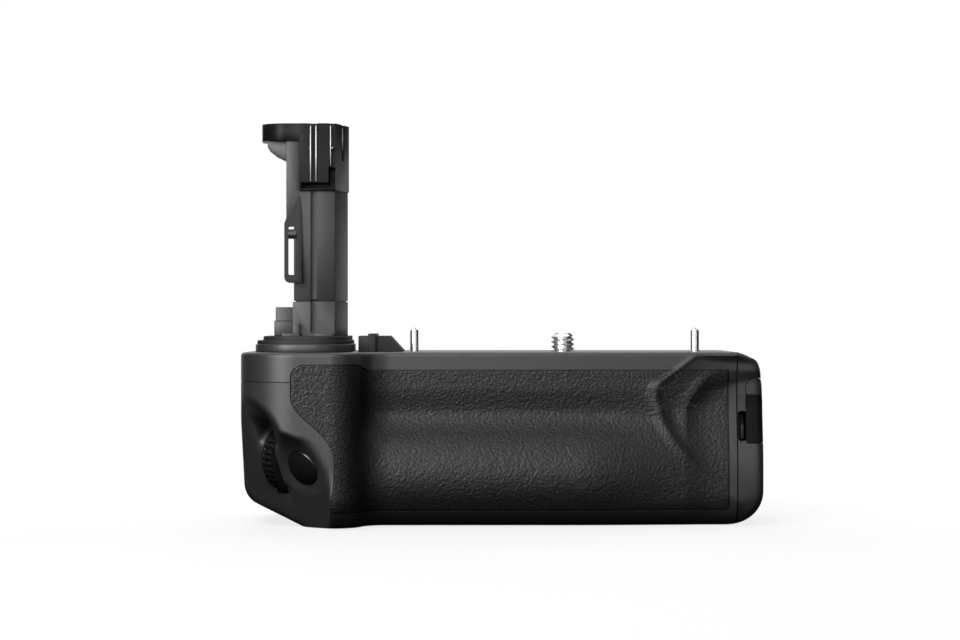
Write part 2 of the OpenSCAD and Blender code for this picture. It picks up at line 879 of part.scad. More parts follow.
module column_post() {
  color(case_black) difference() {
    union() {
      translate([0, 0, post_bottom]) linear_extrude(head_bottom - post_bottom) column_plan(lower_left);
      translate([0, 0, base_top]) linear_extrude(post_bottom - base_top) intersection() {
        translate([-0.8, 0.8]) column_plan(lower_left - 1.6);
        translate([-0.8, -0.8]) column_plan(lower_left - 1.6);
      }
      block([-column_left, -column_front, head_bottom - 5.2], [-lower_left, -column_back, head_bottom]);
      block([-column_left, -column_front, head_bottom], [-shoulder_x, -column_back, flange_z]);
      along_y(-column_front + 1.5, -column_back - 1.5) polygon([
        [-column_left + 0.5, flange_z], [-column_left - gusset, flange_z],
        [-column_left - gusset, flange_z - 1.6], [-column_left - gusset * 0.85, flange_z - 2.8],
        [-column_left - gusset * 0.6, flange_z - 3.8], [-column_left, flange_z - gusset - 0.3],
        [-column_left + 0.5, flange_z - gusset - 0.3]
      ]);
    }
    translate([-groove_x, -column_front - over, 0]) cube([groove_w, groove_depth + over, head_bottom]);
    ribbon_channel(base_top - over, head_bottom + over);
  }
}

module column_head() {
  front = column_front + head_step;
  color(gloss_black) difference() {
    union() {
      translate([0, 0, head_bottom]) linear_extrude(head_h) polygon([
        [-shoulder_x, -front], [-bevel_x, -front], [-column_right + 0.3, -column_back - 1],
        [-column_right + 0.3, -column_back], [-shoulder_x, -column_back]
      ]);
      translate([0, 0, flange_z]) linear_extrude(flange_t) soft_rect(
        [-column_left - flange_reach, -front], [-bevel_x, -column_back], [6.8, 0, 0, 2]
      );
    }
    for (slot = contact_slots) block(
      [slot[0] - slot[1] / 2 - blade_room, -front - over, slot[2] - blade_set],
      [slot[0] + slot[1] / 2 + blade_room, -front + blade_depth, column_h + over]
    );
    ribbon_channel(head_bottom - over, head_bottom + 4);
  }
}

module head_contacts() {
  color(steel) for (slot = contact_slots) {
    low = slot[2] - blade_set;
    for (side = slot[1] > blade_t ? [-1, 1] : [0]) {
      x = slot[0] + side * (slot[1] - blade_t) / 2 - blade_t / 2;
      block(
        [x, -column_front - blade_rise, low],
        [x + blade_t, -column_front - head_step + blade_depth, column_h - blade_set]
      );
    }
  }
}

module key_block() {
  color(case_black) {
    block([-base_left - 5, -column_front + 2, seal_h], [-base_left, -column_back - 3, seal_h + 4]);
    block([-base_left - 4.7, -column_front + 3, seal_h + 4], [-base_left, -column_back - 4, seal_h + 7.6]);
  }
}

// Loop that holds the camera's battery door, on the column's front face
module door_keeper() {
  color(case_black) along_y(-column_front - keeper_t, -column_front) difference() {
    polygon([
      [keeper[0].x, keeper[0].y + 1.2], [keeper[0].x + 0.9, keeper[0].y], [keeper[1].x, keeper[0].y],
      keeper[1], [keeper[1].x - 0.4, keeper[1].y], [keeper[0].x, keeper[1].y - 4.4]
    ]);
    soft_rect(
      [keeper[0].x + 1.6, keeper[0].y + 2.1], [-lower_left, keeper[1].y - 5.5],
      [keeper_slot_r, keeper_slot_r, keeper_slot_r, keeper_slot_r]
    );
  }
}

module keeper_pin() {
  color(gloss_black) rod_x(
    [keeper[0].x, -column_front + keeper_pin_r, keeper[1].y - 7.5], keeper_pin_r, -lower_left - keeper[0].x
  );
}

module column_screws() {
  color(steel) for (p = column_screw_at) {
    rod_z([p.x, p.y, -top_t - 1], 1.7, 1);
    rod_z([p.x, p.y, -top_t], column_screw_r, top_t + 5.5);
  }
}

module door_recess_block() {
  edge = -column_right;
  color(case_black) {
    along_y(recess_y[0], recess_y[1]) polygon([
      [edge + recess_in, 0], [edge + recess_in, seal_h], [edge + recess_flat, seal_h],
      [edge + recess_out, 0.3], [edge + recess_out, 0]
    ]);
    block(
      [edge + recess_rib[0], recess_y[0] - 1, 0],
      [edge + recess_rib[0] + recess_rib[1], recess_y[1], seal_h + recess_rib[2]]
    );
  }
}

// Camera attachment

module locating_pins() {
  color(steel) for (x = [-pin_left, pin_right]) {
    rod_z([x, 0, -top_t], pin_r + pin_step, top_t);
    rod_z([x, 0, 0], pin_r, pin_h - pin_tip);
    translate([x, 0, pin_h - pin_tip]) cylinder(r1 = pin_r, r2 = pin_r - 0.45, h = pin_tip);
  }
}

module attachment_screw() {
  root = screw_r - thread_depth;
  top = screw_h - screw_tip;
  turns = floor((top - screw_collar) / screw_pitch);
  first = top - turns * screw_pitch;
  ring = [
    [root, 0], [screw_r, thread_rise], [screw_r, thread_rise + thread_crest],
    [root, 2 * thread_rise + thread_crest]
  ];
  color(steel) {
    rotate_extrude() polygon(concat(
      [[0, gear_top], [hub_r, gear_top], [hub_r, 0], [screw_r, 0], [screw_r, screw_collar]],
      [for (i = [0:turns - 1]) for (p = ring) p + [0, first + i * screw_pitch]],
      [[root, top], [root - screw_tip, screw_h], [0, screw_h]]
    ));
    rod_z([0, 0, gear_low], hub_r, gear_h);
    rod_z([0, 0, bracket_top - bracket_t], pivot_r, gear_low - bracket_top + bracket_t);
  }
}

module screw_pinion() {
  color(brass) rotate([0, 0, 90]) translate([0, 0, gear_low]) linear_extrude(gear_h) difference() {
    polygon(gear_outline(pinion_teeth, gear_module, backlash));
    circle(hub_r);
  }
}

module thumbwheel() {
  color(gloss_black) translate([0, wheel_y, gear_low]) rotate([0, 0, 270 + 180 / wheel_teeth])
    linear_extrude(gear_h) difference() {
      polygon(gear_outline(wheel_teeth, gear_module, backlash));
      circle(wheel_axle_r + fit_gap);
    }
}

module thumbwheel_axle() {
  color(steel) rod_z([0, wheel_y, bracket_top - bracket_t], wheel_axle_r, bracket_t - bracket_top - top_t);
}

module gear_bracket() {
  half = bracket_front.x + bracket_edge;
  span = bracket_side.x + bracket_edge;
  low = bracket_front.y - bracket_edge;
  high = bracket_side.y + bracket_edge;
  color(steel) translate([0, 0, bracket_top - bracket_t]) linear_extrude(bracket_t) difference() {
    polygon([
      [-half, low], [half, low], [span, wheel_y - bracket_edge], [span, high],
      [-span, high], [-span, wheel_y - bracket_edge]
    ]);
    circle(pivot_r + fit_gap);
    translate([0, wheel_y]) circle(wheel_axle_r);
    for (p = bracket_posts) translate(p) circle(bracket_screw_r + screw_room);
  }
}

module bracket_screws() {
  color(steel) for (p = bracket_posts) {
    rod_z([p.x, p.y, bracket_top - bracket_t - bracket_head_h], bracket_head_r, bracket_head_h);
    rod_z([p.x, p.y, bracket_top - bracket_t], bracket_screw_r, bracket_t + 2);
  }
}

// Shutter button and dial

module shutter_button() {
  collar_low = -shell - collar_gap - collar_t;
  color(gloss_black) at_facet() {
    intersection() {
      translate([0, 0, -shell - collar_gap])
        cylinder(r = button_r, h = shell + collar_gap + button_rise + over);
      translate([0, 0, button_rise - crown_r]) sphere(crown_r);
    }
    translate([0, 0, collar_low]) cylinder(r = button_r + collar_lip, h = collar_t);
    translate([0, 0, collar_low - plunger_h]) cylinder(r = plunger_r, h = plunger_h);
  }
}

module shutter_switch() {
  color(steel) at_facet()
    translate([-switch_size.x / 2, -switch_size.y / 2, switch_z - switch_size.z]) cube(switch_size);
}

module front_dial() {
  color(gloss_black) at_dial() translate([-dial_w / 2, 0, 0]) rotate([0, 90, 0])
    linear_extrude(dial_w) difference() {
      polygon(rib_outline(dial_r, dial_ribs, rib_depth));
      circle(axle_r + fit_gap);
    }
}

module dial_axle() {
  span = cheek_in + cheek_t;
  color(steel) at_dial() rod_x([-span, 0, 0], axle_r, 2 * span);
}

module control_frame() {
  span = cheek_in + cheek_t;
  shelf_z = switch_z - switch_size.z - shelf_t;
  shelf = [switch_size.x + 2 * shelf_edge, switch_size.y + 2 * shelf_edge, shelf_t];
  color(pack_grey) difference() {
    union() {
      at_dial() {
        for (x = [-span, cheek_in])
          translate([x, -axle_r - 0.4, -cheek_h / 2]) cube([cheek_t, hanger_back + axle_r + 0.4, cheek_h]);
        translate([-span, hanger_back, -cheek_h / 2])
          cube([2 * span, hanger_t, cheek_h / 2 - top_t - dial_at.z]);
      }
      at_facet() translate([-shelf.x / 2, -shelf.y / 2, shelf_z]) cube(shelf);
      hull() {
        at_facet() translate([0, -2, shelf_z]) cube([3, 4, shelf_t]);
        at_dial() translate([span - hanger_t, hanger_back, -2]) cube([hanger_t, hanger_t, 4]);
      }
    }
    at_dial() rod_x([-span - over, 0, 0], axle_r, 2 * (span + over));
  }
}

// Rear controls

module rear_button(z) {
  collar_y = rear_in - collar_gap - collar_t;
  tip_y = board_y + dome_h + rear_travel + 0.2;
  color(gloss_black) {
    rod_y([buttons_x, collar_y, z], rear_button_r, rear_y + rear_button_rise - collar_y);
    rod_y([buttons_x, collar_y, z], rear_button_r + rear_lip, collar_t);
    rod_y([buttons_x, tip_y, z], dome_r - 0.4, collar_y - tip_y);
  }
}

module focus_button() {
  rear_button(buttons_z[0]);
}

module lock_button() {
  rear_button(buttons_z[1]);
}

module area_button() {
  rear_button(buttons_z[2]);
}

module joystick() {
  foot = board_y + 0.9;
  cap_low = rear_y - stick_cap_set;
  color(gloss_black) {
    difference() {
      union() {
        rod_y([stick_at.x, foot, stick_at.y], stick_r, cap_low + 0.2 - foot);
        rod_y([stick_at.x, cap_low, stick_at.y], stick_cap_r, stick_cap_t);
      }
      translate([stick_at.x, cap_low + stick_cap_t + stick_dish_r - stick_dish, stick_at.y])
        sphere(stick_dish_r);
    }
    rod_z([stick_at.x, stick_y, stick_at.y - gimbal_r + 0.1], trunnion_r, 2 * gimbal_r - 0.2);
  }
}

module joystick_gimbal() {
  color(steel) difference() {
    union() {
      rod_y([stick_at.x, stick_y - gimbal_h / 2, stick_at.y], gimbal_r, gimbal_h);
      rod_x([stick_at.x - housing_r + 0.2, stick_y, stick_at.y], trunnion_r, 2 * housing_r - 0.4);
    }
    rod_y([stick_at.x, stick_y - gimbal_h, stick_at.y], gimbal_in, 2 * gimbal_h);
    rod_z([stick_at.x, stick_y, stick_at.y - gimbal_r - over], trunnion_r + fit_gap, 2 * (gimbal_r + over));
  }
}

module joystick_housing() {
  color(pack_grey) difference() {
    rod_y([stick_at.x, board_y, stick_at.y], housing_r, rear_in - 0.3 - board_y);
    rod_y([stick_at.x, board_y - over, stick_at.y], housing_in, rear_in - board_y + over);
    rod_x(
      [stick_at.x - housing_r - over, stick_y, stick_at.y],
      trunnion_r + fit_gap, 2 * (housing_r + over)
    );
  }
}

module power_lever() {
  low = rear_y + power_gap;
  collar_y = rear_in - collar_gap - collar_t;
  color(gloss_black) {
    rod_y([power_at.x, low, power_at.y], lever_hub_r, power_hub_t);
    along_y(low, low + power_tab_t) soft_rect(
      [power_at.x - lever_reach, power_at.y - power_tab], [power_at.x, power_at.y + power_tab],
      [power_tab - 0.2, 0, 0, power_tab - 0.2]
    );
    rod_y([power_at.x, collar_y, power_at.y], wheel_axle_r, low - collar_y);
    rod_y([power_at.x, collar_y, power_at.y], power_collar_r, collar_t);
  }
}

// Electronics

module control_board() {
  color(board_green) {
    difference() {
      block([-board_left, board_front, -board_low], [-board_right, board_y, -board_top]);
      for (p = bosses) rod_y([p.x, board_front - over, p.y], board_screw_r + 0.2, board_t + 2 * over);
    }
    for (z = buttons_z) rod_y([buttons_x, board_y, z], dome_r, dome_h);
  }
}

module board_screws() {
  color(steel) for (p = bosses) {
    rod_y([p.x, board_front - 1, p.y], 1.6, 1);
    rod_y([p.x, board_front, p.y], board_screw_r, board_t + 3);
  }
}

module board_connector() {
  color(pack_grey) block(
    [-ribbon_x - ribbon_w / 2 - 1, board_front - 2, ribbon_z - 1.6],
    [-ribbon_x + ribbon_w / 2 + 1, board_front, ribbon_z + 1.9]
  );
}

module column_ribbon() {
  x0 = -ribbon_x - ribbon_w / 2;
  x1 = -ribbon_x + ribbon_w / 2;
  color(ribbon_amber) {
    block([x0, ribbon_y - ribbon_t / 2, ribbon_z], [x1, ribbon_y + ribbon_t / 2, head_bottom + 4]);
    block([x0, ribbon_y - ribbon_t / 2, ribbon_z], [x1, board_front - 2, ribbon_z + ribbon_t]);
  }
}

module battery_ribbon() {
  color(ribbon_amber) block(
    [-board_right - 6, board_front - ribbon_t, terminal_plug[0].y + 1],
    [-bay_in - partition_t - 0.4, board_front, terminal_plug[1].y - 1]
  );
}

// Battery tray and door

module battery_tray() {
  low_x = pack_in - tray_in_t;
  color(pack_grey) intersection() {
    along_x(low_x, door_in) bay_profile(-slide_gap);
    union() {
      block([low_x, -bay_front, bay_low], [door_in, bay_rear, tray_low + tray_floor_t]);
      block([low_x, spine_y - spine_t / 2, bay_low], [door_in, spine_y + spine_t / 2, tray_top]);
      block([door_in - tray_end_t, -bay_front, bay_low], [door_in, bay_rear, tray_top]);
      block([low_x, -bay_front, bay_low], [pack_in, bay_rear, tray_low + tray_in_h]);
    }
  }
}

module battery_pack(y0, y1) {
  low = tray_low + tray_floor_t;
  high = tray_top - slide_gap;
  c = pack_chamfer;
  color(pack_grey) along_x(pack_in, pack_out) polygon([
    [y0 + c, low], [y1 - c, low], [y1, low + c], [y1, high - c], [y1 - c, high],
    [y0 + c, high], [y0, high - c], [y0, low + c]
  ]);
}

module battery_front() {
  battery_pack(-bay_front + slide_gap + pack_play, spine_y - spine_t / 2 - pack_play);
}

module battery_rear() {
  battery_pack(spine_y + spine_t / 2 + pack_play, bay_rear - slide_gap - pack_play);
}

// Outline of the door's release lever in X and Z
module lever_outline() {
  intersection() {
    polygon([
      [lever_in, -body_h], [door_out, -body_h], [door_out, lever_axis.y], [lever_axis.x, lever_axis.y],
      [lever_axis.x, lever_axis.y + 1.5], [lever_in + 1, lever_axis.y + 1.5], [lever_in, lever_axis.y + 0.5]
    ]);
    translate(lever_axis) circle(lever_len);
  }
  translate(lever_axis) circle(lever_barrel);
}

module end_cap() {
  color(case_black) {
    difference() {
      intersection() {
        along_x(door_in, door_out) main_profile(0);
        along_y(-bulge_front - over, rear_y + over)
          soft_rect([0, -body_h], [door_out, 0], [0, 5.8, 6, 0]);
      }
      scoop(0);
      block(
        [door_plate, -bulge_front - over, -door_low_edge],
        [door_out + over, lever_back + 0.4, -door_top_edge]
      );
      block([0, -front_y - over, -notch[1]], [door_out, lever_front + 5, -notch[0]]);
      along_x(door_in - over, door_in + 0.8) difference() {
        bay_profile(seal_inset + door_seal_w);
        bay_profile(seal_inset);
      }
    }
    difference() {
      along_y(knuckle[0], knuckle[1]) {
        translate(lever_axis) circle(lever_barrel - 0.1);
        translate([lever_axis.x - 1.2, lever_axis.y]) square([2.4, -lever_axis.y - door_top_edge]);
      }
      rod_y(
        [lever_axis.x, knuckle[0] - over, lever_axis.y],
        lever_pin_r, knuckle[1] - knuckle[0] + 2 * over
      );
    }
  }
}

module latch_lever() {
  color(case_black) difference() {
    along_y(lever_front, lever_back) lever_outline();
    rod_y([lever_axis.x, lever_front + 1, lever_axis.y], lever_pin_r + fit_gap, lever_back - lever_front);
    along_y(knuckle[0] - slide_gap, knuckle[1] + slide_gap)
      translate(lever_axis) circle(lever_barrel + 1.2);
  }
}

module lever_pin() {
  color(steel) rod_y(
    [lever_axis.x, lever_front + 1 + slide_gap, lever_axis.y],
    lever_pin_r, lever_back - lever_front - 1 - 2 * slide_gap
  );
}

module door_seal() {
  color(rubber_black) along_x(body_right + 0.05, door_in + 0.8) difference() {
    bay_profile(seal_inset + door_seal_w);
    bay_profile(seal_inset);
  }
}

// Terminals at the bay's inner end

module terminal_block() {
  color(pack_grey) {
    block(
      [-bay_in, terminals_y[0] - terminal_edge, terminal_z[0]],
      [-bay_in + terminal_t, terminals_y[3] + terminal_edge, terminal_z[1]]
    );
    block(
      [-bay_in - partition_t - 2, terminal_plug[0].x, terminal_plug[0].y],
      [-bay_in, terminal_plug[1].x, terminal_plug[1].y]
    );
  }
}

module terminal_pins() {
  color(brass) for (y = terminals_y)
    rod_x([-bay_in + terminal_t, y, (terminal_z[0] + terminal_z[1]) / 2], terminal_pin_r, terminal_reach);
}

top_case();
lower_case();
front_grip();
rear_grip();
case_screws();
tripod_bush();
column_seal();
column_base();
column_post();
column_head();
head_contacts();
key_block();
door_keeper();
keeper_pin();
column_screws();
door_recess_block();
locating_pins();
attachment_screw();
screw_pinion();
thumbwheel();
thumbwheel_axle();
gear_bracket();
bracket_screws();
shutter_button();
shutter_switch();
front_dial();
dial_axle();
control_frame();
focus_button();
lock_button();
area_button();
joystick();
joystick_gimbal();
joystick_housing();
power_lever();
control_board();
board_screws();
board_connector();
column_ribbon();
battery_ribbon();
battery_tray();
battery_front();
battery_rear();
end_cap();
latch_lever();
lever_pin();
door_seal();
terminal_block();
terminal_pins();
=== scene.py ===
# %% [markdown]
# # A camera battery grip
#
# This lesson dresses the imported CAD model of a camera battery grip: a moulded body with grained rubber panels, a
# battery door, a column for the camera's battery compartment, and the screw and pins that hold it to the camera.
# The CAD pieces stay as the fixed frame. Each visible one gets a softer, finer piece that stands for it.

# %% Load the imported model
import json
import math

import bpy
import numpy as np
from mathutils import Matrix, Vector

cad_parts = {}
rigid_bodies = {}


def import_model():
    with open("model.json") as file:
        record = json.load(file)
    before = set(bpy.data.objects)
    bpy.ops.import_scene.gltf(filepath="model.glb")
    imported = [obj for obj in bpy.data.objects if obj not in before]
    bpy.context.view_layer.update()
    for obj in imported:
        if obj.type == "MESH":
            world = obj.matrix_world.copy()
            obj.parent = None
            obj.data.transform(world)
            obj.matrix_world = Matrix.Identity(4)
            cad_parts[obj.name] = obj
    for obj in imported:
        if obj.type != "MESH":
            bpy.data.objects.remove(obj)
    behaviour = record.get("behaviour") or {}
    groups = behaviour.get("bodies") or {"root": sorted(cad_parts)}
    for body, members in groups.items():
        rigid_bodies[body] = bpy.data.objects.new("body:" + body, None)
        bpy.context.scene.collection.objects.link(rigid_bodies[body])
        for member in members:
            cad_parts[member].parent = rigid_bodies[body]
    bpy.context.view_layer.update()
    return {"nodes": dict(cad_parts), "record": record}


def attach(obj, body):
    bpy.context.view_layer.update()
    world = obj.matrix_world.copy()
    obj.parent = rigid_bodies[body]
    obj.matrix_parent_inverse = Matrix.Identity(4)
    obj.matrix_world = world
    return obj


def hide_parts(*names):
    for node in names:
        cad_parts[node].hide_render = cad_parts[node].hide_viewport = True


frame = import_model()
MM = 0.001
body_of = {n: b for b, ns in frame["record"]["behaviour"]["bodies"].items() for n in ns}
slot_of = {s["node"]: s["material_slot"] for s in frame["record"]["subparts"]}

# %% [markdown]
# ## Camera
#
# The photograph is a level studio shot from the front. A long lens 0.7 m away gives the same mild perspective, and
# the picture's middle sits a little left of the attachment screw.

# %% Camera
camera_data = bpy.data.cameras.new("studio_camera")
camera_data.lens = 97.1
camera_data.sensor_width = 36
camera = bpy.data.objects.new("studio_camera", camera_data)
camera.location = (-0.02235, -0.700, 0.00841)
camera.rotation_euler = (math.radians(90), 0, 0)
bpy.context.scene.collection.objects.link(camera)
bpy.context.scene.camera = camera
print("camera", tuple(round(c, 4) for c in camera.location))

# %% [markdown]
# ## Hand tools
#
# A few short helpers repeat through the lesson: clear the selection, make one object active, round its edges, build
# a sheet from a grid primitive, close a loft, and cut one closed shape with another.

# %% Select, edit and round


def clear_selection():
    if bpy.context.object is not None and bpy.context.object.mode != "OBJECT":
        bpy.ops.object.mode_set(mode="OBJECT")
    bpy.ops.object.select_all(action="DESELECT")


def pick(piece):
    clear_selection()
    piece.hide_viewport = False
    piece.select_set(True)
    bpy.context.view_layer.objects.active = piece
    return piece


def edit(piece, select="SELECT"):
    """Open a piece in edit mode with all of it selected, none of it, or what is selected already."""
    pick(piece)
    bpy.ops.object.mode_set(mode="EDIT")
    if select:
        bpy.ops.mesh.select_all(action=select)


def done():
    bpy.ops.object.mode_set(mode="OBJECT")


def apply(piece, kind, **settings):
    modifier = piece.modifiers.new(kind.lower(), kind)
    for key, value in settings.items():
        setattr(modifier, key, value)
    pick(piece)
    bpy.ops.object.modifier_apply(modifier=modifier.name)


def smooth(piece, degrees):
    pick(piece)
    bpy.ops.object.shade_smooth_by_angle(angle=math.radians(degrees))


def round_edges(piece, edge, angle=28, miter="MITER_ARC"):
    """Round every edge that turns by more than an angle, by this many millimetres."""
    apply(
        piece, "BEVEL", width=edge * MM, segments=2, limit_method="ANGLE", angle_limit=math.radians(angle),
        miter_outer=miter,
    )
    return piece


# %% Sheets, lofts and cuts


def sheet(name, points):
    """A grid primitive whose vertices are laid on rows of points, in millimetres."""
    rows, columns = points.shape[:2]
    clear_selection()
    bpy.ops.mesh.primitive_grid_add(x_subdivisions=columns - 1, y_subdivisions=rows - 1, size=1)
    piece = bpy.context.object
    piece.name = name
    piece.data.vertices.foreach_set("co", (points.reshape(-1, 3) * MM).ravel())
    piece.data.update()
    return piece


def close_loft(piece):
    edit(piece)
    bpy.ops.mesh.remove_doubles(threshold=2e-6)
    bpy.ops.mesh.fill_holes(sides=0)
    bpy.ops.mesh.normals_make_consistent(inside=False)
    done()
    return piece


def ring_loft(name, rings):
    """A closed body through rings of points, each of which ends where it starts."""
    rings[:, -1] = rings[:, 0]
    return close_loft(sheet(name, rings))


def cut(piece, cutter, how="DIFFERENCE", keep=False):
    apply(piece, "BOOLEAN", operation=how, object=cutter, solver="MANIFOLD")
    if not keep:
        bpy.data.objects.remove(cutter)
    return piece


def copy_of(piece, name):
    twin = piece.copy()
    twin.data = piece.data.copy()
    twin.name = name
    bpy.context.scene.collection.objects.link(twin)
    return twin


# %% Blocks and bars


def box(low, high, bevel=0.0, segments=3):
    """A block between two corners in millimetres, with its edges rounded when a bevel is given."""
    clear_selection()
    bpy.ops.mesh.primitive_cube_add(size=1)
    piece = bpy.context.object
    middle = [(a + b) / 2 * MM for a, b in zip(low, high)]
    size = [(b - a) * MM for a, b in zip(low, high)]
    piece.data.transform(Matrix.Translation(middle) @ Matrix.Diagonal((*size, 1)))
    if bevel:
        edit(piece)
        bpy.ops.mesh.bevel(offset=bevel * MM, segments=segments, affect="EDGES")
        done()
    return piece


def rod(start, end, radius, vertices=64):
    """A round bar from one point to another, in millimetres."""
    a, b = Vector(start) * MM, Vector(end) * MM
    clear_selection()
    bpy.ops.mesh.primitive_cylinder_add(vertices=vertices, radius=radius * MM, depth=(b - a).length)
    piece = bpy.context.object
    turn = (b - a).to_track_quat("Z", "Y").to_matrix().to_4x4()
    piece.data.transform(Matrix.Translation((a + b) / 2) @ turn)
    return piece


def faces(*pieces):
    """The names of pieces with their numbers of faces, to be printed."""
    return "; ".join(f"{piece.name} {len(piece.data.polygons)} faces" for piece in pieces)


print("tools ready")

# %% [markdown]
# ## The moulded form
#
# The body has no sharp changes of shape: the handgrip runs into the front in a soft valley, the control face is
# scooped out of the corner, and a thumb scoop leads to the battery door. Such a form could be pushed out of a
# block by hand. Here it is written as a field, which is negative inside the body, and soft minimum and maximum
# give each meeting of two faces its own radius. Every skin of the body is then laid on this one field.

# %% Soft joins of two fields


def soft_min(a, b, k):
    h = np.clip(k - np.abs(a - b), 0, None) / k
    return np.minimum(a, b) - h * h * k / 4


def soft_max(a, b, k):
    return -soft_min(-a, -b, k)


def soft_plan(x, y, x0, x1, y0, y1, r00, r10, r01, r11):
    """Distance to a rectangle seen from above, with a radius of its own at each corner."""
    middle_x, middle_y = (x0 + x1) / 2, (y0 + y1) / 2
    r = np.where(x < middle_x, np.where(y < middle_y, r00, r01), np.where(y < middle_y, r10, r11))
    qx = np.abs(x - middle_x) - (x1 - x0) / 2 + r
    qy = np.abs(y - middle_y) - (y1 - y0) / 2 + r
    return np.minimum(np.maximum(qx, qy), 0) + np.hypot(np.maximum(qx, 0), np.maximum(qy, 0)) - r


# %% Sizes of the body and its roundings
BASE, LEFT, RIGHT, DOOR_IN, DOOR_OUT = -45.5, -84.6, 44.8, 45.1, 51.9
FRONT, REAR, GRIP_FRONT, FLANK = -24.0, 26.0, -40.0, -53.5
SEAM, SHELL = -7.5, 3.2
REAR_ROUND, GRIP_ROUND, DOOR_ROUND = 7, 9, 9
FADE_X, FADE_RUN = 3, 38
VALLEY_R, VALLEY_Y, VALLEY_Z = 18.0, -41.1, -17.0
BULGE_R, BULGE_Y, BULGE_Z, BULGE_FADE = 13.5, -17, -32, 7.0


def lower_round(z, r):
    """How far a wall draws in towards the base, which it meets with this radius."""
    return r - np.sqrt(r**2 - np.clip(BASE + r - z, 0, r) ** 2)


def bead(distance, height, width):
    """A rounded line raised along an edge."""
    return height * np.exp(-((distance / width) ** 2))


def ease(value, start, run):
    """A soft step from 0 to 1 over a run."""
    t = np.clip((value - start) / run, 0, 1)
    return t * t * (3 - 2 * t)


def between(value, low, high, run):
    """1 between two limits, fading to 0 at each over a run."""
    return ease(np.minimum(value - low, high - value), 0, run)


# %% Thumb scoop
SCOOP_X, SCOOP_Z, SCOOP_TOP, FIRST_DEPTH, SECOND_DEPTH = 23.9, -8.8, -1.0, 1.5, 1.2
INNER_X, INNER_Z, INNER_STOP = 37.5, -5.6, 31.6


def scoop_depth(x, z):
    """Depth of the thumb scoop, which opens towards the battery door between two slanting edges."""
    # Distances from the two edges: a straight one above, and one below that curves to the right as it falls
    upper_edge = (x - SCOOP_X) * 0.606 - (z - SCOOP_Z) * 0.795
    lower_edge = (x - SCOOP_X - 0.0235 * np.clip(SCOOP_Z - z, 0, 30) ** 2) * 0.93
    upper_wall = soft_min(upper_edge * 0.25, 0.35 + upper_edge * 0.12, 0.3)
    lower_wall = soft_min(lower_edge * 0.50, 0.60 + lower_edge * 0.19, 0.6)
    first = soft_min(soft_min(upper_wall, lower_wall, 0.35), (SCOOP_TOP - z) * 0.8, 0.3)
    first = soft_min(first, FIRST_DEPTH, 0.5)
    # A second, gentler slope starts inside the first and reaches its depth at the door
    inner = soft_min((x - INNER_X) * 0.812 - (z - INNER_Z) * 0.584, x - INNER_STOP, 1.5)
    second = soft_min(inner * 0.28 * np.clip((-5 - z) / 5, 0, 1), SECOND_DEPTH, 0.5)
    upper_bead = bead(upper_edge + 0.1, 0.22, 0.5) * between(x, 23.0, 35.0, 1.5)
    crest = bead(lower_edge + 0.7, 0.60, 1.5) * between(z, -31.0, -6.5, 6.0)
    inner_crest = bead(inner + 0.3, 0.36, 1.7) * between(z, -24.0, -4.5, 4.0)
    return np.clip(first, 0, None) + np.clip(second, 0, None) - upper_bead - crest - inner_crest


print("scoop at the door, in millimetres", round(float(scoop_depth(DOOR_IN, VALLEY_Z)), 2))

# %% Profiles of the body, by height


def front_profile(x, z):
    """Y of the front wall: a finger valley above a bulge, both fading into the scoop at the battery door."""
    fade = ease(x, FADE_X, FADE_RUN)
    valley = VALLEY_Y + np.sqrt(np.clip(VALLEY_R**2 - (z - VALLEY_Z) ** 2, 0, None))
    hollow = (soft_max(FRONT, valley, 0.9) - FRONT) * (1 - fade)
    wall = FRONT + hollow + scoop_depth(x, z) + lower_round(z, 5 + 4 * fade)
    dz = (z - BULGE_Z) / BULGE_R
    depth = BULGE_R - BULGE_FADE * fade
    # An ellipse has an upright tangent at its top, so its last part there is a straight run-out
    end = 0.80
    height = math.sqrt(1 - end**2)
    arch = np.where(dz < end, np.sqrt(np.clip(1 - dz**2, 0, None)), height - (dz - end) * end / height)
    bulge = BULGE_Y - depth * arch
    return soft_min(wall, bulge, 6.5)


def rear_profile(z):
    return REAR - lower_round(z, REAR_ROUND)


def grip_profile(z):
    return GRIP_FRONT + lower_round(z, GRIP_ROUND)


def door_profile(z):
    """X of the door's outside, which bends in to the mating face in a tight curve."""
    crown = np.interp(
        -z,
        [0, 0.45, 1.25, 1.75, 2.1, 2.6, 3.3, 4.4, 6.0, 9.0, 13.0],
        [45.6, 46.6, 48.2, 49.4, 49.95, 50.4, 50.75, 51.1, 51.4, 51.72, DOOR_OUT],
    )
    return np.minimum(crown, DOOR_OUT - lower_round(z, DOOR_ROUND))


print("front at the bulge, in millimetres", round(float(front_profile(FADE_X, BULGE_Z)), 2))

# %% Control face and dish
BUTTON = np.array([-68.25, -34.5, -29.8])
FACE_OUT = np.array([-0.59169, -0.70515, -0.39073])
RIDGE_R, SWEEP_R, SWEEP_X, SWEEP_Z = 7.15, 15, -88, -26
DISH_R, DISH_DEPTH = 18, 1.1
POCKET_R, POCKET_TOP = 8.3, -16.5
DISH = BUTTON + FACE_OUT * (DISH_R - DISH_DEPTH)
DIAL = np.array([-71.9005, -23.5181, -27.6])
DIAL_AXIS = np.array([0.76604, -0.64279, 0.0])


def control_cut(x, y, z):
    """The slanting control face: a sweep from the left, a ring round the button, and all below them."""
    out = (x - BUTTON[0]) * FACE_OUT[0] + (y - BUTTON[1]) * FACE_OUT[1] + (z - BUTTON[2]) * FACE_OUT[2]
    sweep = np.hypot(x - SWEEP_X, z - SWEEP_Z) - SWEEP_R
    ridge = np.hypot(x - BUTTON[0], z - BUTTON[2]) - RIDGE_R
    skirt = np.maximum(x - BUTTON[0] - RIDGE_R, z - BUTTON[2])
    region = soft_min(soft_min(sweep, ridge, 4), skirt, 2)
    return soft_max(region, -out, 2.2)


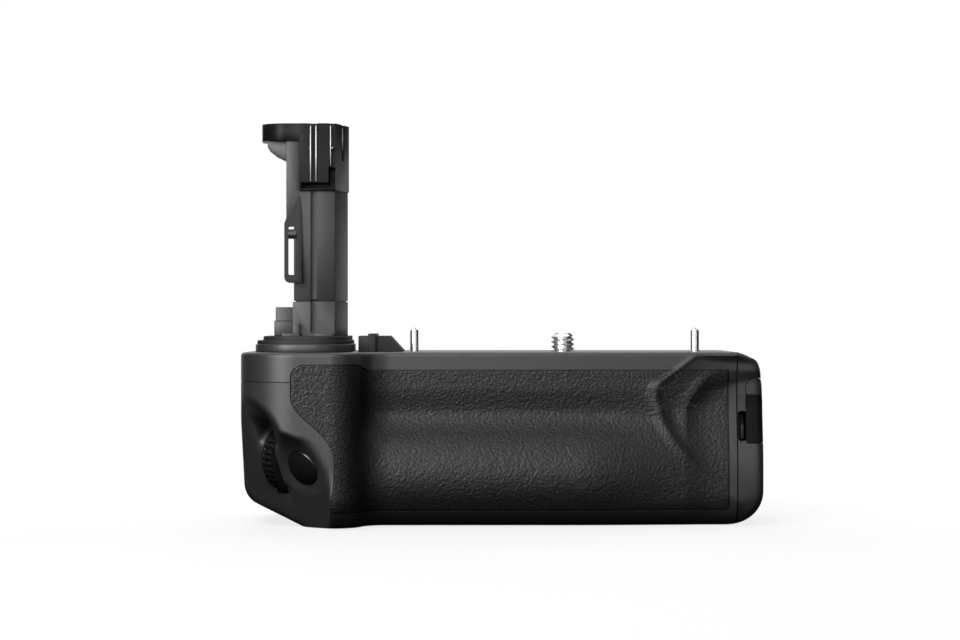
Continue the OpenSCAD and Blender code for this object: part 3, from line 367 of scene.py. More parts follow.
def dial_pocket(x, y, z):
    """A soft pocket in front of the dial's upper half, so that a finger reaches its rim."""
    side = (x - DIAL[0]) * DIAL_AXIS[0] + (y - DIAL[1]) * DIAL_AXIS[1]
    ahead = (x - DIAL[0]) * DIAL_AXIS[1] - (y - DIAL[1]) * DIAL_AXIS[0]
    rim = POCKET_R - np.hypot(ahead, z - DIAL[2])
    sides = np.maximum(side - 3.2, (-side - 3.0) * 0.3)
    return soft_max(soft_max(sides, rim, 1.5), soft_max(2.5 - ahead, (z - POCKET_TOP) * 0.5, 2.0), 1.5)


print("dish", DISH_DEPTH, "mm deep round the button at", BUTTON)

# %% Field of the whole body
MAIN_LEFT, SLANT_X, SLANT_OUT = -60.0, -68.6, (-0.39394, -0.91914)
MAIN_CORNERS, GRIP_CORNERS = (0.01, 2.41, 0.01, 4.01), (15.01, 7.01, 12.01, 0.01)


def field(x, y, z):
    """Negative inside the body, in millimetres."""
    rear = rear_profile(z)
    main = soft_plan(x, y, MAIN_LEFT, door_profile(z), front_profile(x, z), rear, *MAIN_CORNERS)
    grip = soft_plan(x, y, LEFT, FLANK, grip_profile(z), rear, *GRIP_CORNERS)
    slant = (x - SLANT_X) * SLANT_OUT[0] + (z - BASE) * SLANT_OUT[1]
    form = soft_min(main, soft_max(grip, slant, 3.7), 8.0)
    form = soft_max(form, -control_cut(x, y, z), 1.6)
    form = soft_max(form, -dial_pocket(x, y, z), 1.2)
    dish = DISH_R - np.sqrt((x - DISH[0]) ** 2 + (y - DISH[1]) ** 2 + (z - DISH[2]) ** 2)
    return soft_max(form, dish, 0.8)


print("field at the screw's axis, half way down:", round(float(field(0.0, 0.0, BASE / 2)), 2))

# %% Rays that find the skin
# The outline below is walked round once, and a ray from a point inside through each place on it meets the skin. A
# place along the outline and a height then name every point of the body. The rays start in the handgrip. On the
# front their start slides towards the door, so that they also meet the walls of the thumb scoop.
RAY_FROM = np.array([-62.0, 0.0])
RAY_SLID, SLID_AT, SLOPE_STEP = 8.0, 20.0, 0.05
OUTLINE = np.array(
    [[0, REAR], [LEFT, REAR], [LEFT, GRIP_FRONT], [FLANK, GRIP_FRONT], [FLANK, FRONT], [DOOR_OUT, FRONT],
     [DOOR_OUT, FRONT + 5], [DOOR_OUT, REAR], [0, REAR]]
)
WALK = np.concatenate([[0], np.cumsum(np.linalg.norm(np.diff(OUTLINE, axis=0), axis=1))])
SLIDE = [WALK[4], WALK[4] + SLID_AT - FLANK, WALK[6], WALK[7]]


def halve(low, high, before, rounds):
    """Close in on the places between low and high up to which a test holds."""
    for _ in range(rounds):
        middle = (low + high) / 2
        held = before(middle)
        low, high = np.where(held, middle, low), np.where(held, high, middle)
    return (low + high) / 2


def skin(along, z, inset=0.0):
    """Points of the body's skin at places along the outline and heights, moved in by inset."""
    along, z = np.broadcast_arrays(np.asarray(along, float), np.asarray(z, float))
    inset = np.broadcast_to(np.asarray(inset, float), z.shape)
    start_x = np.interp(along, SLIDE, [RAY_FROM[0], RAY_SLID, RAY_SLID, RAY_FROM[0]])
    dx = np.interp(along, WALK, OUTLINE[:, 0]) - start_x
    dy = np.interp(along, WALK, OUTLINE[:, 1]) - RAY_FROM[1]

    def inside(t):
        return field(start_x + dx * t, RAY_FROM[1] + dy * t, z) <= -inset

    t = halve(np.full(z.shape, 0.02), np.full(z.shape, 1.6), inside, 24)
    return np.stack([start_x + dx * t, RAY_FROM[1] + dy * t, z], axis=-1)


def outward(points):
    """Unit normals of the body's skin, from the slope of the field."""
    slope = np.stack(
        [
            field(*np.moveaxis(points + step, -1, 0)) - field(*np.moveaxis(points - step, -1, 0))
            for step in np.eye(3) * SLOPE_STEP
        ],
        axis=-1,
    )
    return slope / np.linalg.norm(slope, axis=-1, keepdims=True)


def walk_steps(steps):
    """Places along the outline, with a spacing for each of its eight runs."""
    places = []
    for start, end, step in zip(WALK[:-1], WALK[1:], steps):
        places.append(np.linspace(start, end, int(round((end - start) / step)), endpoint=False))
    return np.append(np.concatenate(places), WALK[-1])


print("outline length in millimetres", round(WALK[-1], 1))

# %% [markdown]
# ## Loft of the whole body
#
# The body form is one closed loft: a ring of points at each height, close together round the top edge, where they
# draw in to make its radius, and under the base. It is then cut at the case seam and at the door, so that the
# pieces meet in true lines.

# %% Loft the body form
TOP_EDGE, SIDE_TOP, SIDE_LOW, SIDE_STEP, LOW_EDGE = 0.9, -1.3, -38, 0.45, 7.5
turn = np.radians(np.linspace(90, 0, 7))
top_levels = TOP_EDGE * (np.sin(turn) - 1)
top_inset = TOP_EDGE * (1 - np.cos(turn))
side_levels = np.arange(SIDE_TOP, SIDE_LOW, -SIDE_STEP)
base_levels = BASE + LOW_EDGE * (1 - np.sin(np.radians(np.linspace(0, 90, 22))))
levels = np.concatenate([top_levels, side_levels, base_levels])
insets = np.concatenate([top_inset, np.zeros(len(side_levels) + len(base_levels))])
places = walk_steps([0.9, 0.55, 0.36, 0.4, 0.45, 0.09, 0.7, 0.9])
body_form = ring_loft("body_form", skin(places[None, :], levels[:, None], insets[:, None]))
print(faces(body_form))

# %% Split it at the seam and at the door
FAR = 200
SEAM_GAP = 0.09
end_cap = cut(copy_of(body_form, "door_cap"), box((DOOR_IN, -FAR, -FAR), (FAR, FAR, FAR)), "INTERSECT")
cut(body_form, box((-FAR, -FAR, -FAR), (RIGHT, FAR, FAR)), "INTERSECT")
upper_case = cut(copy_of(body_form, "upper_case"), box((-FAR, -FAR, SEAM + SEAM_GAP), (FAR, FAR, FAR)), "INTERSECT")
lower_case = cut(body_form, box((-FAR, -FAR, -FAR), (FAR, FAR, SEAM - SEAM_GAP)), "INTERSECT")
lower_case.name = "lower_shell"
print(faces(end_cap, upper_case, lower_case))

# %% [markdown]
# ## Grained rubber panels
#
# The front panel is one sheet of rubber that wraps from the handgrip across the valley to the battery door. Its
# left edge follows the control face in an S. The sheet is a grid laid on the body field between these edges,
# pressed into the grain of the real panel, and given its thickness with Solidify.

# %% Edges of the front panel
PANEL_TOP, PANEL_LOW, PANEL_RIGHT = -3.3, -41.0, 42.5
STEP_X, STEP_RUN, STEP_DOWN, CORNER = -54.2, 2.6, 1.6, 3.0


def bezier(points, t):
    """Points of a curve with four control points."""
    a, b, c, d = (np.array(p, float)[None, :] for p in points)
    t = t[:, None]
    return (1 - t) ** 3 * a + 3 * t * (1 - t) ** 2 * b + 3 * t**2 * (1 - t) * c + t**3 * d


panel_side = np.concatenate(
    [
        [[-70.5, 0.0], [-70.5, -6.3]],
        bezier([[-70.5, -11.3], [-70.5, -17.3], [-59.25, -19.8], [-59.25, -28.5]], np.linspace(0, 1, 25)),
        bezier([[-59.25, -28.5], [-59.25, -33], [-60.05, -37], [-60.55, -41]], np.linspace(0, 1, 12))[1:],
        [[-60.8, -43.0]],
    ]
)


def left_edge(z, top):
    """X of the panel's left edge, with a rounded corner at the top."""
    x = np.interp(-z, -panel_side[:, 1], panel_side[:, 0])
    corner = np.clip(CORNER - (top - z), 0, CORNER)
    return x + CORNER - np.sqrt(CORNER**2 - corner**2)


def top_edge(x):
    """Height of the panel's top edge: higher on the handgrip than on the body."""
    return PANEL_TOP - STEP_DOWN * ease(x, STEP_X, STEP_RUN)


# %% Grid over the front panel


def place_of(x, z):
    """Place along the outline at which the front skin has this X."""
    first, last = np.full(np.shape(z), WALK[2]), np.full(np.shape(z), WALK[6])
    return halve(first, last, lambda place: skin(place, z)[..., 0] < x, 22)


def front_sheet(columns, rows, grow):
    """Places and heights over the front panel, grown past its edges by grow."""
    v = np.linspace(0, 1, rows)
    z = PANEL_TOP + grow + v * (PANEL_LOW - PANEL_TOP - grow * 2)
    start = place_of(left_edge(z - grow * 0.2, PANEL_TOP) - grow, z)
    stop = place_of(np.full(rows, PANEL_RIGHT + grow), z + (top_edge(PANEL_RIGHT) - PANEL_TOP) * (1 - v))
    # Even steps over the skin at mid height, so that columns are as close in the scoop as elsewhere
    dense = np.linspace(0, 1, 3000)
    middle = skin(start[rows // 2] + dense * (stop - start)[rows // 2], np.full(len(dense), VALLEY_Z))
    length = np.concatenate([[0], np.cumsum(np.linalg.norm(np.diff(middle, axis=0), axis=1))])
    u = np.interp(np.linspace(0, length[-1], columns), length, dense)
    along = start[:, None] + u[None, :] * (stop - start)[:, None]
    x = skin(along, np.broadcast_to(z[:, None], along.shape))[..., 0]
    lift = (top_edge(x) - PANEL_TOP) * (1 - v)[:, None]
    # Columns run from right to left, so that the sheet's faces point out of the body
    return along[:, ::-1], (z[:, None] + lift)[:, ::-1]


FRONT_COLUMNS, FRONT_ROWS = 372, 118
front_along, front_z = front_sheet(FRONT_COLUMNS, FRONT_ROWS, 0.0)
print("front panel", front_along.shape)

# %% [markdown]
# The grain is a field of small pebbles with creases between them. Each point of the sheet looks for the nearest
# and second nearest of a set of scattered seeds: where the two are equally far, there is a crease.

# %% Pebbles and creases
GRAIN, WANDER, WANDER_SIZE = 0.95, 0.22, 1.1
BROAD_DEPTH, FINE_DEPTH, WEAR_AND_CREASE_SHADE_DEPTH = 0.065, 0.035, 0.09
RUBBER, PROUD, EDGE_ROLL = 0.9, 0.03, 0.08


def scatter(cell, salt):
    """Repeatable numbers from 0 to 1 for each cell of a lattice."""
    mixed = cell[..., 0] * 127.1 + cell[..., 1] * 311.7 + cell[..., 2] * 74.7 + salt * 53.3
    return np.modf(np.abs(np.sin(mixed) * 43758.5453))[0]


def creases(points, size):
    """Distance to the nearest crease between pebbles of this size, 0 in the crease and about 0.5 on a pebble."""
    p = points / size
    base = np.floor(p)
    near, second = np.full(p.shape[:-1], 9.0), np.full(p.shape[:-1], 9.0)
    for neighbour in np.ndindex(3, 3, 3):
        cell = base + np.array(neighbour) - 1
        seed = cell + np.stack([scatter(cell, s) for s in (1, 2, 3)], axis=-1)
        distance = np.linalg.norm(p - seed, axis=-1)
        second = np.minimum(second, np.maximum(near, distance))
        near = np.minimum(near, distance)
    return second - near


def waves(points, size):
    """A slow wander that keeps the pebbles from looking like cells."""
    x, y, z = (points[..., i] / size for i in range(3))
    return np.stack(
        [
            np.sin(x * 1.7 + 2.1 * np.sin(z * 1.3)) + np.sin(z * 2.9 + y),
            np.sin(y * 1.9 + 1.7 * np.sin(x * 1.1)),
            np.sin(z * 2.3 + 1.9 * np.sin(x * 1.9)) + np.sin(x * 3.1 + y),
        ],
        axis=-1,
    )


def grain_height(points):
    """Height of the grain in millimetres, 0 on the pebbles' tops."""
    wandered = points + WANDER * waves(points, WANDER_SIZE)
    broad = np.clip(creases(wandered, GRAIN) / 0.42, 0, 1)
    fine = np.clip(creases(wandered + 40, GRAIN * 0.55) / 0.4, 0, 1)
    return -BROAD_DEPTH * (1 - broad) ** 1.5 - FINE_DEPTH * (1 - fine) ** 1.5


# %% Sheet with the grain pressed in


def grained_panel(name, along, z):
    """A sheet with the grain pressed in, plain at its border, where it rolls in to a clean edge."""
    row, column = np.indices(along.shape)
    steps = np.minimum.reduce([row, column, row[::-1], column[:, ::-1]])
    flat = skin(along, z)
    grain = grain_height(flat)
    t = np.clip(1 - steps / 2.0, 0, 1)
    height = grain * np.clip(steps / 2, 0, 1) + PROUD - EDGE_ROLL * (1 - np.sqrt(1 - t**2))
    piece = sheet(name, flat + outward(flat) * height[..., None])
    # The grain's height also sets the colour: worn tops lighter, creases painted darker as painted shade
    wear_and_crease_shade = piece.data.attributes.new("grain", "FLOAT", "POINT")
    wear_and_crease_shade.data.foreach_set("value", np.clip(1 + grain / WEAR_AND_CREASE_SHADE_DEPTH, 0, 1).ravel())
    apply(piece, "SOLIDIFY", thickness=RUBBER * MM, offset=-1)
    smooth(piece, 50)
    return piece


front_panel = grained_panel("front_rubber", front_along, front_z)
print(faces(front_panel))

# %% [markdown]
# The back of the body has a panel of the same rubber for the thumb. It is laid on the same field.

# %% Rear panel


def rear_sheet(columns, rows, grow):
    """Places and heights over the rear panel, whose corners are rounded, grown past its edges by grow."""
    left, right, top, low, r = -50.0 - grow, 34.0 + grow, -11.0 + grow, -40.0 - grow, 4.0 + grow
    v = np.linspace(0, 1, rows)
    z = top + v * (low - top)
    edge = np.clip(np.maximum(r - (top - z), r - (z - low)), 0, r)
    pull = r - np.sqrt(r * r - edge**2)
    u = np.linspace(0, 1, columns)[None, :]
    x = (left + pull)[:, None] * (1 - u) + (right - pull)[:, None] * u
    z = np.broadcast_to(z[:, None], x.shape)
    # On the back the ray through a place meets the skin where the place, moved out along the ray, has this X
    t = (rear_profile(z) - RAY_FROM[1]) / (REAR - RAY_FROM[1])
    on_outline = RAY_FROM[0] + (x - RAY_FROM[0]) / t
    return np.where(on_outline <= 0, -on_outline, WALK[-1] - on_outline), z


rear_along, rear_z = rear_sheet(262, 92, 0.0)
rear_panel = grained_panel("rear_rubber", rear_along, rear_z)
print(faces(rear_panel))

# %% [markdown]
# Both cases have a shallow bed for each panel, a hair wider than the panel, so that a fine dark line runs round it
# as on the real grip. The bed is cut with a plain sheet laid below the skin and thickened outwards.

# %% Beds for the panels
BED, BED_GAP, BED_CLEAR = 1.0, 0.32, 1.6
for along, z in (front_sheet(FRONT_COLUMNS, 90, BED_GAP), rear_sheet(140, 50, BED_GAP)):
    flat = skin(along, z)
    bed = sheet("bed", flat - outward(flat) * BED)
    apply(bed, "SOLIDIFY", thickness=(BED + BED_CLEAR) * MM, offset=1)
    edit(bed)
    bpy.ops.mesh.normals_make_consistent(inside=False)
    done()
    cut(upper_case, bed, keep=True)
    cut(lower_case, bed)
print("beds cut;", faces(lower_case))

# %% Hollow the cases
inner_places = walk_steps([3, 2, 2, 2, 3, 1, 3, 3])


def hollow(low, high, step):
    """The room inside the cases between two heights, one wall's thickness inside the skin."""
    z = np.arange(high, low - step, -step)
    z[-1] = low
    return ring_loft("hollow", skin(inner_places[None, :], z[:, None], SHELL))


cut(upper_case, cut(hollow(SEAM - 2, -2.2, 1.0), box((-FAR, -FAR, -FAR), (42.8, FAR, FAR)), "INTERSECT"))
cut(lower_case, cut(hollow(-42.3, SEAM + 2, 2.0), box((-FAR, -FAR, -FAR), (-16.1, FAR, FAR)), "INTERSECT"))
print("cases hollowed")

# %% Battery bay, holes and slots
cut(lower_case, box((-14.5, -18.2, -43.5), (RIGHT + 5, 23.4, SEAM + 4)))
DIAL_ROOM, DIAL_ROOM_R, SHUTTER_HOLE = 1.95, 9.5, 4.95
PUSH_HOLE, STICK_HOLE, POWER_HOLE, BUSH_HOLE, SCREW_HOLE, STUD_HOLE = 2.95, 4.83, 1.6, 5.22, 2.3, 3.4
cut(lower_case, rod(DIAL - DIAL_AXIS * DIAL_ROOM, DIAL + DIAL_AXIS * DIAL_ROOM, DIAL_ROOM_R, 96))
cut(lower_case, rod(BUTTON - FACE_OUT * 8, BUTTON + FACE_OUT * 6, SHUTTER_HOLE, 72))
REAR_BUTTONS = [(-70.7, -13.0), (-70.7, -22.0), (-70.7, -31.0)]
STICK, POWER = (-59.2, -19.0), (-59.2, -33.0)
for (x, z), r in [(p, PUSH_HOLE) for p in REAR_BUTTONS] + [(STICK, STICK_HOLE), (POWER, POWER_HOLE)]:
    cut(lower_case, rod((x, 20, z), (x, 30, z), r, 48))
cut(lower_case, rod((-27, 0, -50), (-27, 0, -40), BUSH_HOLE))
CASE_SCREWS = [(-58.0, -12.0), (-58.0, 8.0), (-21.1, -14.0), (-21.1, 10.0)]
for x, y in CASE_SCREWS:
    cut(lower_case, rod((x, y, -50), (x, y, -44.2), SCREW_HOLE, 32))
cut(upper_case, rod((0, 0, -5), (0, 0, 3), STUD_HOLE))
WHEEL_SLOT = 9.9
cut(upper_case, box((-WHEEL_SLOT, 20, -5.7), (WHEEL_SLOT, 30, -2.1), 0.5))
print("holes cut;", faces(lower_case))

# %% [markdown]
# ## Finishes
#
# The grip is moulded in dark plastics that differ mostly in how they break up the light: a satin strip, a finely
# sparked case, a grained rubber and a glossy black for the controls. Each finish has a slow change of tone, a fine
# bump and a roughness that follows it, all on Object coordinates in metres, so that scale is the same everywhere.

# %% Shader nodes


def add_node(tree, kind, **sockets):
    """A new shader node, with each named socket set to a value or linked to another node's output."""
    node = tree.nodes.new("ShaderNode" + kind)
    for name, value in sockets.items():
        socket = node.inputs[name.replace("_", " ")]
        if isinstance(value, bpy.types.NodeSocket):
            tree.links.new(value, socket)
        else:
            socket.default_value = value
    return node


def new_finish(name, specular, metallic=0.0):
    """A material with its node tree, its shader and the Object coordinates."""
    material = bpy.data.materials.new(name)
    material.use_nodes = True
    tree = material.node_tree
    shader = tree.nodes["Principled BSDF"]
    shader.inputs["Specular IOR Level"].default_value = specular
    shader.inputs["Metallic"].default_value = metallic
    return material, tree, shader, add_node(tree, "TexCoord").outputs["Object"]


# %% Noise, tone and relief


def noise(tree, place, size, detail, stretch=None):
    """Noise with features of about this size in millimetres."""
    if stretch:
        place = add_node(tree, "Mapping", Scale=stretch, Vector=place).outputs["Vector"]
    return add_node(tree, "TexNoise", Scale=1 / (size * MM), Detail=detail, Vector=place)


def ramp(tree, source, socket, stops):
    """A colour ramp from a texture's value to a socket, with stops of place and grey or colour."""
    node = add_node(tree, "ValToRGB", Fac=source)
    elements = node.color_ramp.elements
    while len(elements) < len(stops):
        elements.new(0.5)
    for element, (place, colour) in zip(elements, stops):
        element.position = place
        element.color = (*colour, 1) if isinstance(colour, tuple) else (colour, colour, colour, 1)
    tree.links.new(node.outputs["Color"], socket)


def bump(tree, source, shader, depth, after=None):
    """A relief of this depth in millimetres, on top of another where one is given."""
    node = add_node(tree, "Bump", Distance=depth * MM, Strength=1.0, Height=source)
    if after is not None:
        tree.links.new(after.outputs["Normal"], node.inputs["Normal"])
    tree.links.new(node.outputs["Normal"], shader.inputs["Normal"])
    return node


# %% Moulded plastic and metal


def moulded(name, dark, light, rough, grain, depth, specular, metallic=0.0, drift=(14, 4), stretch=None):
    """A moulded plastic: slow tone change, and a fine texture in its bump and roughness."""
    material, tree, shader, place = new_finish(name, specular, metallic)
    slow = noise(tree, place, *drift)
    ramp(tree, slow.outputs["Fac"], shader.inputs["Base Color"], [(0.3, dark), (0.7, light)])
    fine = noise(tree, place, grain, 2, stretch)
    ramp(tree, fine.outputs["Fac"], shader.inputs["Roughness"], [(0.3, rough[0]), (0.7, rough[1])])
    bump(tree, fine.outputs["Fac"], shader, depth)
    return material


def metal(name, dark, light, rough, grain, depth, stretch=None):
    """A plated or turned metal with faint turning marks."""
    return moulded(name, dark, light, rough, grain, depth, 0.5, 1.0, (4, 3), stretch)


print("finish helpers ready")

# %% Plastics and metals
# Each row has a name, a dark and a light tone, two roughnesses, the size and depth of the fine texture in
# millimetres, and for a plastic its gloss or for a metal the stretch of its turning marks
PLASTICS = {
    "strip_plastic": ("satin_strip", (0.048, 0.0474, 0.053), (0.054, 0.0533, 0.0595), (0.40, 0.50), 0.16, 0.012, 0.38),
    "case_plastic": ("sparked_case", (0.048, 0.0474, 0.053), (0.054, 0.0533, 0.0595), (0.42, 0.54), 0.18, 0.016, 0.36),
    "seal_rubber": ("seal_rubber", (0.022, 0.022, 0.023), (0.03, 0.03, 0.031), (0.55, 0.68), 0.2, 0.02, 0.2),
    "gloss_plastic": ("gloss_black", (0.014, 0.0138, 0.0155), (0.019, 0.0188, 0.021), (0.20, 0.26), 0.5, 0.001, 0.5),
    "pack_plastic": ("inner_plastic", (0.014, 0.014, 0.015), (0.021, 0.021, 0.022), (0.45, 0.6), 0.3, 0.02, 0.30),
    "post_plastic": ("sparked_post", (0.030, 0.0296, 0.0333), (0.036, 0.0355, 0.040), (0.42, 0.54), 0.18, 0.016, 0.36),
    "head_plastic": ("satin_black", (0.012, 0.0119, 0.0134), (0.016, 0.0158, 0.0178), (0.30, 0.40), 0.3, 0.004, 0.06),
    "ribbon": ("ribbon_amber", (0.36, 0.15, 0.035), (0.45, 0.20, 0.05), (0.30, 0.42), 0.4, 0.006, 0.5),
    "board": ("board_green", (0.012, 0.07, 0.03), (0.02, 0.10, 0.045), (0.35, 0.45), 0.5, 0.008, 0.45),
}
METALS = {
    "chrome": ("chrome", (0.72, 0.72, 0.73), (0.80, 0.80, 0.80), (0.26, 0.36), 0.25, 0.002, (1, 1, 4)),
    "steel": ("steel", (0.40, 0.40, 0.41), (0.48, 0.48, 0.48), (0.28, 0.40), 0.2, 0.004),
    "contact_metal": ("contact_metal", (0.17, 0.17, 0.17), (0.22, 0.22, 0.22), (0.30, 0.40), 0.2, 0.003, (6, 6, 1)),
    "brass": ("brass", (0.52, 0.36, 0.14), (0.62, 0.44, 0.19), (0.24, 0.36), 0.25, 0.004),
}
finishes = {slot: moulded(*row) for slot, row in PLASTICS.items()}
finishes.update({slot: metal(*row) for slot, row in METALS.items()})
print("finishes", ", ".join(finishes))

# %% [markdown]
# The rubber follows its modelled grain: the sheet carries the grain's height as an attribute, so that creases are a
# little duller than the pebbles' worn tops, and darker. The tops are lighter from wear, and the darker creases are
# painted shade. A finer bump breaks up the tops.

# %% Grained rubber finish
PEBBLE, PEBBLE_BUMP, PEBBLE_SHIFT, TOP_GRAIN, TOP_BUMP = 0.68, -0.13, 0.0009, 0.28, 0.03
grained_rubber, tree, shader, place = new_finish("grained_rubber", 0.27)
grain = add_node(tree, "Attribute")
grain.attribute_name = "grain"
# Base colour by grain height: lighter worn tops, and darker creases that are painted shade
ramp(
    tree, grain.outputs["Fac"], shader.inputs["Base Color"],
    [(0.0, (0.008, 0.0079, 0.0089)), (0.5, (0.0155, 0.0153, 0.0172)), (1.0, (0.023, 0.0227, 0.0255))],
)
ramp(tree, grain.outputs["Fac"], shader.inputs["Roughness"], [(0.0, 0.62), (1.0, 0.44)])
shift = add_node(tree, "VectorMath")
shift.operation = "MULTIPLY_ADD"
shift.inputs[1].default_value = (PEBBLE_SHIFT,) * 3
tree.links.new(noise(tree, place, 1.2, 2).outputs["Color"], shift.inputs[0])
tree.links.new(place, shift.inputs[2])
pebbles = add_node(tree, "TexVoronoi", Scale=1 / (PEBBLE * MM), Vector=shift.outputs["Vector"])
pebbles.feature = "SMOOTH_F1"
pebbles.inputs["Smoothness"].default_value = 0.35
low = bump(tree, pebbles.outputs["Distance"], shader, PEBBLE_BUMP)
bump(tree, noise(tree, place, TOP_GRAIN, 3).outputs["Fac"], shader, TOP_BUMP, after=low)
finishes["grip_rubber"] = grained_rubber
for node, piece in frame["nodes"].items():
    piece.data.materials.clear()
    piece.data.materials.append(finishes[slot_of[node]])
print("every node has a finish")

# %% [markdown]
# ## Dressing the CAD pieces
#
# Many small pieces already have the right shape and only lack the small radius that every moulded or turned edge
# has. A copy of the CAD mesh is merged, its flat faces are joined again, and its edges are rounded.

# %% Dress and hand over


def hand_over(piece, *nodes, slot=None, body=None, finish=None, degrees=None):
    """Smooth a piece below an angle, give it its finish and the body it rides on, and hide the nodes it stands for."""
    if degrees:
        smooth(piece, degrees)
    slot = slot or slot_of[nodes[0]]
    piece.data.materials.clear()
    piece.data.materials.append(finishes[finish or slot])
    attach(piece, body or body_of[nodes[0]])
    if nodes:
        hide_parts(*nodes)
    print(faces(piece))
    return piece


def dress(node, edge, finish=None):
    """A merged copy of a node's mesh with this edge radius, which stands for the node."""
    piece = copy_of(frame["nodes"][node], node + "_dressed")
    piece.parent = None
    for key in list(piece.keys()):
        del piece[key]
    edit(piece)
    bpy.ops.mesh.remove_doubles(threshold=1e-6)
    bpy.ops.mesh.dissolve_limited(angle_limit=math.radians(1.0))
    done()
    return hand_over(round_edges(piece, edge), node, finish=finish, degrees=30)


for node, edge in {
    "key_block": 0.25, "battery_tray": 0.3, "battery_front": 0.6, "battery_rear": 0.6, "terminal_block": 0.25,
    "power_lever": 0.35, "focus_button": 0.3, "lock_button": 0.3, "area_button": 0.3, "joystick": 0.25,
    "thumbwheel": 0.15, "case_screws": 0.12, "tripod_bush": 0.15,
}.items():
    dress(node, edge)
dress("door_recess_block", 0.2, finish="seal_rubber")

# The door's seal and the lever's pin are trimmed to just inside the rounded corners of the body
CORE_INSET = 0.3
core_levels = np.linspace(-0.35, BASE + CORE_INSET, 40)
core = ring_loft("core", skin(inner_places[None, :], core_levels[:, None], CORE_INSET))
door_seal = cut(dress("door_seal", 0.2), core, "INTERSECT", keep=True)
lever_pin = cut(dress("lever_pin", 0.1), core, "INTERSECT")
print(faces(door_seal, lever_pin))

# %% [markdown]
# ## Shutter button, dial, screw and pins
#
# These are turned pieces. Each starts as a line of points for its profile, which Spin carries once round its axis.

# %% Turned pieces


def placed(at, axis):
    """The move from the origin to a point in millimetres, with Z turned along an axis."""
    turn = Vector(axis).to_track_quat("Z", "Y").to_matrix().to_4x4()
    return Matrix.Translation(Vector(at) * MM) @ turn


def turned(name, profile, at, axis=(0, 0, 1), steps=40):
    """Spin a profile of radius and height, in millimetres, round an axis. Its ends lie on the axis."""
    clear_selection()
    bpy.ops.mesh.primitive_circle_add(vertices=len(profile), fill_type="NOTHING")
    piece = bpy.context.object
    piece.name = name
    for vertex, (r, h) in zip(piece.data.vertices, profile):
        vertex.co = (r * MM, 0, h * MM)
    for edge in piece.data.edges:
        edge.select = set(edge.vertices) == {0, len(profile) - 1}
    for vertex in piece.data.vertices:
        vertex.select = False
    edit(piece, None)
    bpy.ops.mesh.select_mode(type="EDGE")
    bpy.ops.mesh.delete(type="EDGE")
    bpy.ops.mesh.select_mode(type="VERT")
    bpy.ops.mesh.select_all(action="SELECT")
    bpy.ops.mesh.spin(steps=steps, angle=2 * math.pi, center=(0, 0, 0), axis=(0, 0, 1))
    bpy.ops.mesh.select_all(action="SELECT")
    bpy.ops.mesh.remove_doubles(threshold=1e-6)
    bpy.ops.mesh.normals_make_consistent(inside=False)
    done()
    piece.data.transform(placed(at, axis))
    smooth(piece, 40)
    return piece


def arc(centre, r, start, end, count):
    """Points of an arc for a profile, angles in degrees."""
    a = np.radians(np.linspace(start, end, count))
    return [(centre[0] + r * math.cos(t), centre[1] + r * math.sin(t)) for t in a]


print("turning tools ready")

# %% Shutter button
CROWN, CROWN_R, CROWN_TOP, BUTTON_R, BUTTON_LOW = 11.0, 4.25, 0.8, 4.75, -3.4
crown_turn = np.linspace(0, math.asin(CROWN_R / CROWN), 12)
crown = [(CROWN * math.sin(t), CROWN_TOP - CROWN * (1 - math.cos(t))) for t in crown_turn]
button_profile = crown + arc((CROWN_R, -0.55), 0.5, 67, 0, 6) + [(BUTTON_R, BUTTON_LOW), (0, BUTTON_LOW)]
hand_over(turned("shutter_cap", button_profile, BUTTON, FACE_OUT, 72), "shutter_button")

# %% Knurled front dial
RIBS, DIAL_R, DIAL_WIDE, RIB_CUT = 36, 9.0, 3.3, 0.55
clear_selection()
bpy.ops.mesh.primitive_cylinder_add(vertices=RIBS * 4, radius=DIAL_R * MM, depth=DIAL_WIDE * MM)
dial = bpy.context.object
dial.name = "knurled_dial"
edit(dial, "DESELECT")
done()
for face in dial.data.polygons:
    step = int((math.atan2(face.center.y, face.center.x) / (2 * math.pi) % 1) * RIBS * 4)
    face.select = abs(face.normal.z) < 0.5 and step % 4 in (0, 1)
edit(dial, None)
bpy.ops.mesh.select_mode(type="FACE")
bpy.ops.mesh.extrude_region_shrink_fatten(TRANSFORM_OT_shrink_fatten={"value": -RIB_CUT * MM})
done()
round_edges(dial, 0.14, 30, "MITER_SHARP")
dial.data.transform(placed(DIAL, DIAL_AXIS))
hand_over(dial, "front_dial", degrees=35)

# %% Attachment screw with a rolled thread
PITCH, MAJOR, MINOR = 1.27, 3.175, 2.45
SHANK_TOP, SHANK_R, THREAD_END, RUN_OUT, END_CUT = 0.3, 2.2, 4.75, 0.9, 0.35
angles = np.linspace(0, 2 * math.pi, 73)
heights = np.concatenate([[-6.4, 0.0, SHANK_TOP], np.linspace(0.32, 4.55, 100), [4.7, 4.85, 4.9]])
phase = (heights[:, None] / PITCH - angles[None, :] / (2 * math.pi)) % 1.0
ridge_form = np.clip((0.5 - np.abs(phase - 0.5)) * 2.6 - 0.25, 0, 1)
radius = MINOR + (MAJOR - MINOR) * ridge_form
run_out = np.clip((THREAD_END - heights) / RUN_OUT, 0, 1)[:, None]
radius = np.minimum(radius, MINOR - END_CUT + (MAJOR - MINOR + END_CUT) * run_out)
radius[heights <= SHANK_TOP] = SHANK_R
radius[-1] = MINOR - 0.6
points = np.stack(
    [radius * np.cos(angles), radius * np.sin(angles), np.broadcast_to(heights[:, None], radius.shape)], axis=-1
)
screw = close_loft(sheet("threaded_stud", points))
hand_over(screw, "attachment_screw", degrees=50)

